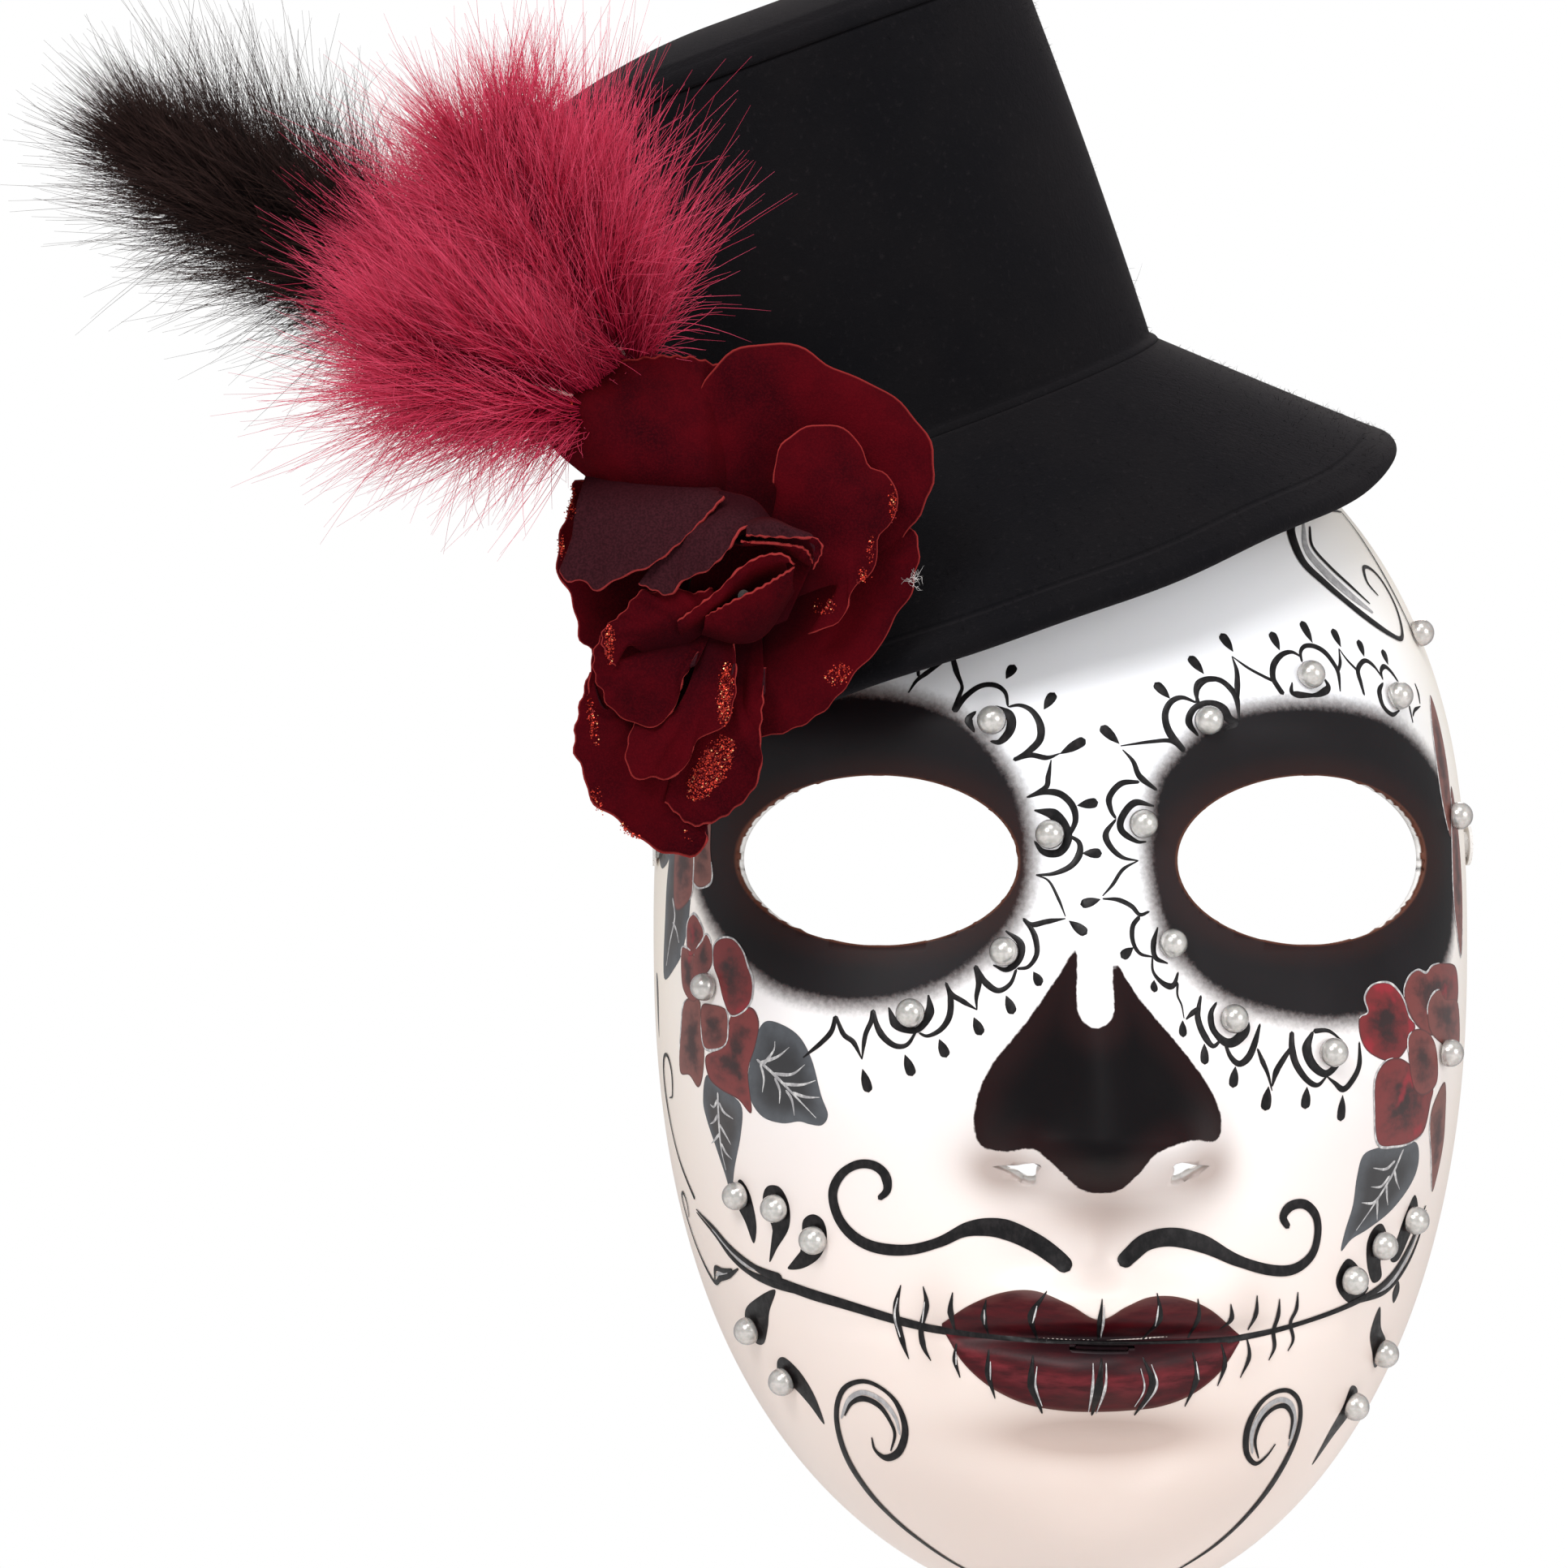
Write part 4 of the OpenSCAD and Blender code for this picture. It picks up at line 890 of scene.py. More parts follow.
RIGHT_FLOWER = [
    ([(84, 32), (87, 27), (89.6, 15), (88.4, 4), (84.6, 9), (82, 18), (81.6, 26)], 0.95, 0.0, (0.5, 1.0)),
    ([(91, 14), (95, 4), (96.5, -10), (94, -20), (89, -10), (88.6, 2)], 0.85, 0.0, (0.4, 1.0)),
    ([(78.6, -47.3), (77, -51.7), (79, -57.5), (82.4, -65.5), (84.6, -63), (86.5, -56.8), (86.1, -51.7), (84, -44)],
     0.95, 0.0, (0.1, 0.4)),
    ([(52.4, -29.9), (54.7, -28.8), (54, -26), (56.4, -23.7), (61.2, -23.6), (65, -26.4), (67, -30.1), (69.2, -32.3),
      (66.2, -36.1), (63.4, -38), (59.5, -38.2), (54.7, -36.3), (52.6, -33.5)], 0.05, 0.01, (0.0, 0.55)),
    ([(65.4, -26.4), (67, -22.8), (70.5, -21.4), (73.7, -22.1), (76.5, -20.8), (81.6, -20.6), (89.6, -21.8),
      (91.4, -27.7), (86.6, -31.6), (77.2, -34.4), (69.3, -31.8)], 0.45, 0.02, (0.0, 0.45)),
    ([(64.1, -38), (59.5, -38.2), (56.6, -41.3), (56.7, -47), (58.3, -54.1), (63.7, -55.1), (69.7, -54.7),
      (74.6, -52.8), (76.6, -47.6), (77.1, -44.3), (69.5, -40.4)], 0.2, 0.03, (0.05, 0.65)),
    ([(73.9, -30.1), (75.3, -26.9), (79.3, -25.6), (82.6, -27.7), (91.4, -29), (92.9, -38.7), (77.2, -34.8)],
     0.65, 0.04, (0.0, 0.35)),
    ([(66.6, -37), (66.9, -33.7), (70.4, -32.7), (75.3, -34.2), (78.4, -37.7), (79.1, -43.6), (73.4, -45.7),
      (68.9, -43.7)], 0.5, 0.05, (0.0, 0.2)),
]
LEAVES = [
    ([(-65.3, -30.7), (-68.4, -31.9), (-70.5, -36.6), (-72, -41.9), (-71.4, -46.1), (-68.2, -49.2), (-63.2, -50.1),
      (-59.1, -49.5), (-56.6, -49.9), (-53.9, -49.9), (-52.6, -47.8), (-54.1, -44.1), (-56.2, -37.3), (-59.5, -32.8)],
     0.1),
    ([(-85.4, -42.3), (-87.3, -47.3), (-86.3, -51), (-83.2, -56.6), (-80.4, -62.1), (-79.1, -65.6), (-77.2, -59.9),
      (-74.6, -53), (-74.3, -47.2), (-80.4, -44.6)], 0.5),
    ([(-100.3, 4), (-104, -3.4), (-105.5, -12.2), (-106.7, -24.4), (-97.5, -21.1), (-93.7, -16.6), (-91.4, -10.3),
      (-91, 0)], 0.5),
    ([(-107, 5), (-112, 4), (-112.5, -0.4), (-108.5, -2.6), (-103, 0)], 0.7),
    ([(-115.6, -24), (-115.4, -29), (-114.6, -37), (-113.2, -30), (-113.6, -25)], 0.8),
    ([(65.8, -54.6), (59, -54.9), (54.6, -56.1), (53.2, -60.4), (52.6, -65.7), (50.9, -70.5), (50.1, -74.4),
      (52.8, -72.3), (57.6, -70.6), (64.8, -67.5), (71.2, -63), (73.5, -59), (71.9, -55)], 0.15),
]
LEAF_VEINS = [
    [(-69.5, -38.2), (-65.5, -40.5), (-60.8, -44), (-55.2, -48.6)], [(-67.9, -39.3), (-65.1, -36.3), (-64.7, -34.5)],
    [(-68.6, -38.8), (-64.2, -37.4), (-61.2, -35.4)], [(-65.2, -40.7), (-60.7, -40.5), (-57.6, -38.5)],
    [(-63.1, -42.5), (-58.5, -42.4), (-55.2, -41.4)], [(-60.8, -44), (-57.4, -44.7), (-54.4, -44.6)],
    [(-68.6, -38.8), (-67.7, -41.6), (-68.1, -44.4)], [(-64.9, -41.4), (-63.7, -43.7), (-63.8, -46.3)],
    [(-62.2, -43.6), (-60.8, -45.4), (-60.2, -48.4)], [(-81.6, -45.4), (-81.7, -51.6), (-81.4, -56.4), (-80.2, -60.6)],
    [(-81.8, -46.8), (-83.2, -48.4), (-84.5, -48)], [(-81.4, -47.3), (-79.8, -49.1), (-76.7, -50.3)],
    [(-81.7, -49.7), (-83.5, -51.3), (-85, -51.9)], [(-81.6, -51.6), (-79.4, -53.8), (-77.9, -55.4)],
    [(-81.5, -53.5), (-84, -55.2), (-85, -55.7)], [(-81.3, -55.4), (-79.8, -57.2), (-77.8, -58.3)],
    [(-100.4, -8.2), (-99, -12), (-101.9, -16.9), (-104.6, -21.9)], [(-100.2, -13), (-98, -14.6), (-96.6, -17)],
    [(67, -55.8), (63.7, -60.7), (59, -65.7), (53.9, -70.7)], [(64.4, -57.9), (61.5, -59.3), (57.5, -58.8)],
    [(63, -60.7), (60.5, -62.6), (57.3, -62.5)], [(60.4, -64.4), (58.3, -65.7), (54.9, -65.4)],
    [(64.3, -59.5), (65.3, -61.7), (66.8, -63.7)], [(62.2, -62.3), (62.5, -64.4), (63.1, -66.5)],
    [(59.5, -64.8), (59.8, -67.1), (60, -69.2)],
]
CHEEK_DROPS = [
    [(-76.1, -62.2), (-74, -63), (-72.4, -65.7), (-71.5, -70.7), (-72.9, -74.4), (-75, -70.4), (-77.8, -66.2)],
    [(-67, -62.5), (-64, -62.8), (-62, -66.1), (-62.4, -70.5), (-65.8, -74.6), (-68.5, -77.6), (-66.8, -71.5),
     (-68.9, -66.6), (-68.7, -64)],
    [(-56.3, -67.3), (-53.9, -68.4), (-53.2, -71.7), (-55, -75.5), (-59.3, -78), (-63.4, -78.4), (-60.2, -75.7),
     (-59.2, -72.1), (-58.7, -68.7)],
    [(-67.6, -83), (-75, -85.8), (-79.8, -88.6), (-80.8, -92.2), (-78.3, -95), (-74.6, -94.6), (-71.9, -91.1),
     (-70.4, -87.7)],
    [(-68.7, -96.6), (-66, -97.2), (-62.6, -99.6), (-59.7, -103.8), (-58.6, -109), (-62.3, -105.5),
     (-66.6, -102.6), (-71.4, -101.4), (-71, -98.1)],
    [(73.4, -65.4), (76, -69.6), (73.6, -73), (69.6, -77.8), (66, -77.4), (68, -73), (70, -69.2)],
    [(62, -70.2), (64.4, -74), (62.4, -77), (63.4, -80.6), (60.4, -81.4), (58, -77.8), (57.4, -73.4), (59.2, -70.6)],
    [(52, -76), (55.8, -78.4), (56, -81), (59.2, -82.4), (54.6, -85), (50.4, -82.6), (49.2, -79.4)],
    [(70.9, -82.2), (72.4, -84.4), (70.6, -86.6), (69.2, -84.4)],
    [(64.4, -86.6), (66.6, -91), (71, -94.4), (71.6, -97.8), (68.4, -99.4), (65, -96), (62.2, -91.6)],
    [(58.6, -101.8), (62.4, -103.4), (62.4, -107.4), (56.6, -111.8), (51, -117), (53.6, -111), (57, -106)],
]


def petal_lines(greys, flower):
    """White brushed edges along part of each petal's outline."""
    for outline, _, lift, (start, end) in flower:
        loop = smooth_path(outline, closed=True, per=6)
        part = loop[int(start * len(loop)):max(int(start * len(loop)) + 4, int(end * len(loop)))]
        greys.stroke(part[::2], [0.15, 0.45, 0.3, 0.55, 0.4, 0.2], 0.8, lift + 0.03)


def paint_flowers():
    petals, leaves, lines, drops = Brushwork(0.05), Brushwork(0.04), Brushwork(0.07), Brushwork(0.06)
    for outline, tone, lift, _ in LEFT_FLOWER + RIGHT_FLOWER:
        petals.patch(outline, tone, lift)
    for outline, tone in LEAVES:
        leaves.patch(outline, tone)
    for points in LEAF_VEINS:
        lines.stroke(points, [0.6, 0.7, 0.45, 0.12], 0.6)
    petal_lines(lines, LEFT_FLOWER + RIGHT_FLOWER)
    for outline in CHEEK_DROPS:
        drops.patch(outline, 0.5)
    petals.finish("paint_petals", flower_material())
    leaves.finish("paint_leaves", leaf_material())
    lines.finish("paint_petal_lines", GREY_PAINT)
    drops.finish("paint_drops", BLACK_PAINT)


def flower_material():
    """Painted petals: dark hearts, crimson and dusty brown bodies, brushed towards their edges."""
    n = Nodes("petal_paint", Roughness=0.42)
    brush = n.ramp(n.noise(1, 5, 0.6, n.stretch((260, 260, 420))), 0.3, 0.72)
    body = n.mix(n.attribute("tone"), srgb(112, 16, 24), srgb(118, 72, 64))
    deep = n.mix(n.attribute("tone"), srgb(34, 6, 10), srgb(58, 26, 25))
    colour = n.mix(n.ramp(n.math("ADD", n.attribute("rim"), n.math("MULTIPLY", brush, 0.5)), 0.3, 1.15), deep, body)
    red = n.ramp(n.math("ADD", n.noise(110, 3), n.math("MULTIPLY", n.attribute("tone"), -0.2)), 0.5, 0.62)
    colour = n.mix(n.math("MULTIPLY", red, 0.75), colour, srgb(150, 18, 38))
    colour = n.mix(n.ramp(n.attribute("rim"), 0.93, 1.0, 0, 0.7), colour, srgb(52, 30, 32))
    return n.finish(Base_Color=colour, Normal=n.bump(n.noise(1500, 3), 0.15, 0.0001))


def leaf_material():
    n = Nodes("leaf_paint", Roughness=0.42)
    brush = n.ramp(n.noise(1, 5, 0.6, n.stretch((300, 300, 300))), 0.3, 0.72)
    colour = n.mix(n.math("MULTIPLY", n.attribute("tone"), 0.8), srgb(32, 34, 38), srgb(92, 84, 82))
    colour = n.mix(n.ramp(n.attribute("rim"), 0.45, 1.0, 0, 0.75), colour, srgb(88, 92, 98))
    colour = n.mix(n.math("MULTIPLY", brush, 0.35), colour, srgb(24, 22, 25))
    return n.finish(Base_Color=colour, Normal=n.bump(n.noise(1500, 3), 0.15, 0.0001))


UPPER_LIP = [(-29.6, -86.4), (-24.5, -82.6), (-18.6, -80), (-12.6, -79.4), (-6.4, -81.6), (-0.9, -84.4),
             (4, -82), (8.8, -80.4), (14.6, -80.8), (20.6, -83.4), (27, -88.8)]
MOUTH = [(-29.6, -87.2), (-24.5, -88), (-18.6, -88.6), (-12.6, -88.9), (-6.4, -89.1), (-0.9, -89.3),
         (4, -89.4), (8.8, -89.5), (14.6, -89.6), (20.6, -89.6), (27, -89.6)]
LOWER_LIP = [(-29, -88.4), (-25.6, -93.6), (-20.6, -97.8), (-14, -100.8), (-7, -102), (-0.9, -102.2),
             (5, -102), (11, -101.4), (17, -99.4), (22.6, -95.6), (27, -90.2)]


def lip_patch(brush, edge, tone):
    """A lip between the mouth line and its outer edge; rim runs from 0 at the mouth line to 1."""
    low, high = smooth_path(MOUTH, per=14), smooth_path(edge, per=14)
    rows = 28
    n = len(low)
    places = np.concatenate([low + (high - low) * k / rows for k in range(rows + 1)])
    verts, _ = on_face(places, brush.lift)
    faces = [(k * n + i, k * n + i + 1, (k + 1) * n + i + 1, (k + 1) * n + i) for k in range(rows) for i in range(n - 1)]
    brush.add(verts, faces, np.repeat(np.arange(rows + 1) / rows, n), tone)


def lip_material():
    """Crimson lips, darker along the mouth line, with painted highlights where they bulge: dusty brown on the upper
    lip, pink on the lower.
    """
    n = Nodes("lip_paint", Roughness=0.42, Specular_IOR_Level=0.2)
    rim, lower = n.attribute("rim"), n.attribute("tone")
    brush = n.ramp(n.noise(1, 5, 0.6, n.stretch((160, 120, 700))), 0.25, 0.8)
    colour = n.mix(brush, srgb(48, 2, 8), srgb(80, 5, 15))
    # Painted highlights: the upper lip lighter towards its outer edge, the lower lip along its bulge.
    lit = n.ramp(n.math("ADD", rim, n.math("MULTIPLY", brush, 0.3)), 0.8, 1.2)
    upper_lip_painted_highlight = n.mix(lit, colour, srgb(74, 34, 32))
    ridge = n.math("MULTIPLY", n.ramp(rim, 0.3, 0.55), n.ramp(rim, 0.62, 0.8, 1, 0))
    lower_lip_painted_highlight = n.mix(n.math("MULTIPLY", n.math("MULTIPLY", ridge, brush), 0.6), colour, srgb(124, 42, 50))
    colour = n.mix(lower, upper_lip_painted_highlight, lower_lip_painted_highlight)
    dark = n.ramp(n.math("ADD", rim, n.math("MULTIPLY", brush, 0.14)), 0.14, 0.62, 1, 0)
    middle = n.ramp(n.math("ABSOLUTE", n.add("SeparateXYZ", "X", None, Vector=n.place())), 0.0, 0.02, 1, 0.35)
    colour = n.mix(n.math("MULTIPLY", dark, middle), colour, srgb(28, 16, 20))
    colour = n.mix(n.ramp(rim, 0.93, 1.0, 0, 0.7), colour, srgb(92, 58, 52))
    return n.finish(Base_Color=colour, Normal=n.bump(n.noise(1500, 3), 0.2, 0.0001))


def paint_lips():
    lips = Brushwork(0.12)
    lip_patch(lips, UPPER_LIP, 0.0)
    lip_patch(lips, LOWER_LIP, 1.0)
    return lips.finish("paint_lips", lip_material())


paint_flowers()
paint_lips()

# ---- pearls and eyelets ----------------------------------------------------------

PEARL_R = 2.75
PEARL_LIFT, PEARL_SINK = 0.5, 0.9
PEARLS = {
    "pearls_left_eye": [(-20, 26), (-9, 5), (-17.5, -17), (-35, -28.5)],
    "pearls_right_eye": [(20.5, 26), (41, 34.5), (60, 31), (8, 7), (13, -15.5), (25, -29.5), (44, -36)],
    "pearls_left_cheek": [(-66, -65), (-59, -66.5), (-52, -72), (-63.5, -92), (-57, -101)],
    "pearls_right_cheek": [(63.5, -70), (56, -74), (49.5, -80), (58, -96), (51.5, -105.5)],
    "pearls_temples": [(-72, -25), (71, -38), (75, 8), (68.5, 44)],
}


def pearl_shape(rings=18, sides=28):
    """A round bead with a flat back, its front up."""
    last = math.acos(-PEARL_SINK / PEARL_R)
    verts = [(0, 0, PEARL_R + PEARL_SINK)]
    for i in range(1, rings + 1):
        a = last * i / rings
        for k in range(sides):
            b = 2 * math.pi * k / sides
            verts.append((PEARL_R * math.sin(a) * math.cos(b), PEARL_R * math.sin(a) * math.sin(b),
                          PEARL_R * math.cos(a) + PEARL_SINK))
    faces = [(0, 1 + k, 1 + (k + 1) % sides) for k in range(sides)]
    for i in range(rings - 1):
        a, b = 1 + i * sides, 1 + (i + 1) * sides
        faces += [(a + k, b + k, b + (k + 1) % sides, a + (k + 1) % sides) for k in range(sides)]
    faces.append(tuple(1 + (rings - 1) * sides + k for k in reversed(range(sides))))
    return np.array(verts), faces


def pearl_material():
    n = Nodes("pearl", Metallic=0.45, Roughness=0.24, Coat_Weight=0.7, Coat_Roughness=0.06)
    facing = n.add("LayerWeight", "Facing", None, Blend=0.45)
    cloud = n.ramp(n.noise(900, 3), 0.3, 0.7)
    body = n.mix(cloud, srgb(180, 176, 172), srgb(206, 200, 196))
    # Painted shade: each pearl turns grey towards its rim as seen from the camera.
    colour = n.mix(n.ramp(facing, 0.25, 0.9, 0, 0.85), body, srgb(92, 88, 90))
    return n.finish(Base_Color=colour, Subsurface_Weight=0.1, Normal=n.bump(n.noise(1600, 2), 0.05, 0.0001))


def make_pearls(material):
    shape, faces = pearl_shape()
    rng = random.Random(7)
    for name, places in PEARLS.items():
        verts, polys = [], []
        for x, z in places:
            angle = np.arcsin(np.array([x]) / half_w(np.array([z])))
            out = face_direction(angle, np.array([float(z)]))[0]
            at = face_at(angle, np.array([float(z)]))[0] + out * PEARL_LIFT
            side = unit(np.cross(out, (0, 0, 1)))
            up = np.cross(side, out)
            turn = rng.random() * 6
            a = side * math.cos(turn) + up * math.sin(turn)
            b = np.cross(out, a)
            count = len(verts) * len(shape)
            verts.append(at + shape[:, :1] * a + shape[:, 1:2] * b + shape[:, 2:] * out)
            polys += [tuple(i + count for i in f) for f in faces]
        obj = new_object(name + "_beads", np.concatenate(verts), polys, material)
        place(obj, "pearl", name)


def eyelet_material():
    """White lacquered metal, so that the eyelets hardly show on the white shell."""
    n = Nodes("white_lacquer", Roughness=0.3, Metallic=0.0)
    worn = n.ramp(n.noise(1400, 4), 0.62, 0.7)
    return n.finish(Base_Color=n.mix(worn, srgb(232, 230, 228), srgb(168, 162, 150)))


def finish_cad(material, *nodes):
    """Gives CAD pieces that are shown as they are a better material."""
    for name in nodes:
        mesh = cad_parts[name].data
        mesh.materials.clear()
        mesh.materials.append(material)


make_pearls(pearl_material())
finish_cad(eyelet_material(), "ribbon_eyelet_left", "ribbon_eyelet_right")

# ---- the velvet rose ---------------------------------------------------------------
# Petals are laid out in the rose's own frame, in mm: x right, y up, height towards the viewer.

ROSE_AT = np.array([-67.0, -84.0, 48.0])
PETAL_T = 0.5
ACROSS, ALONG = 60, 34

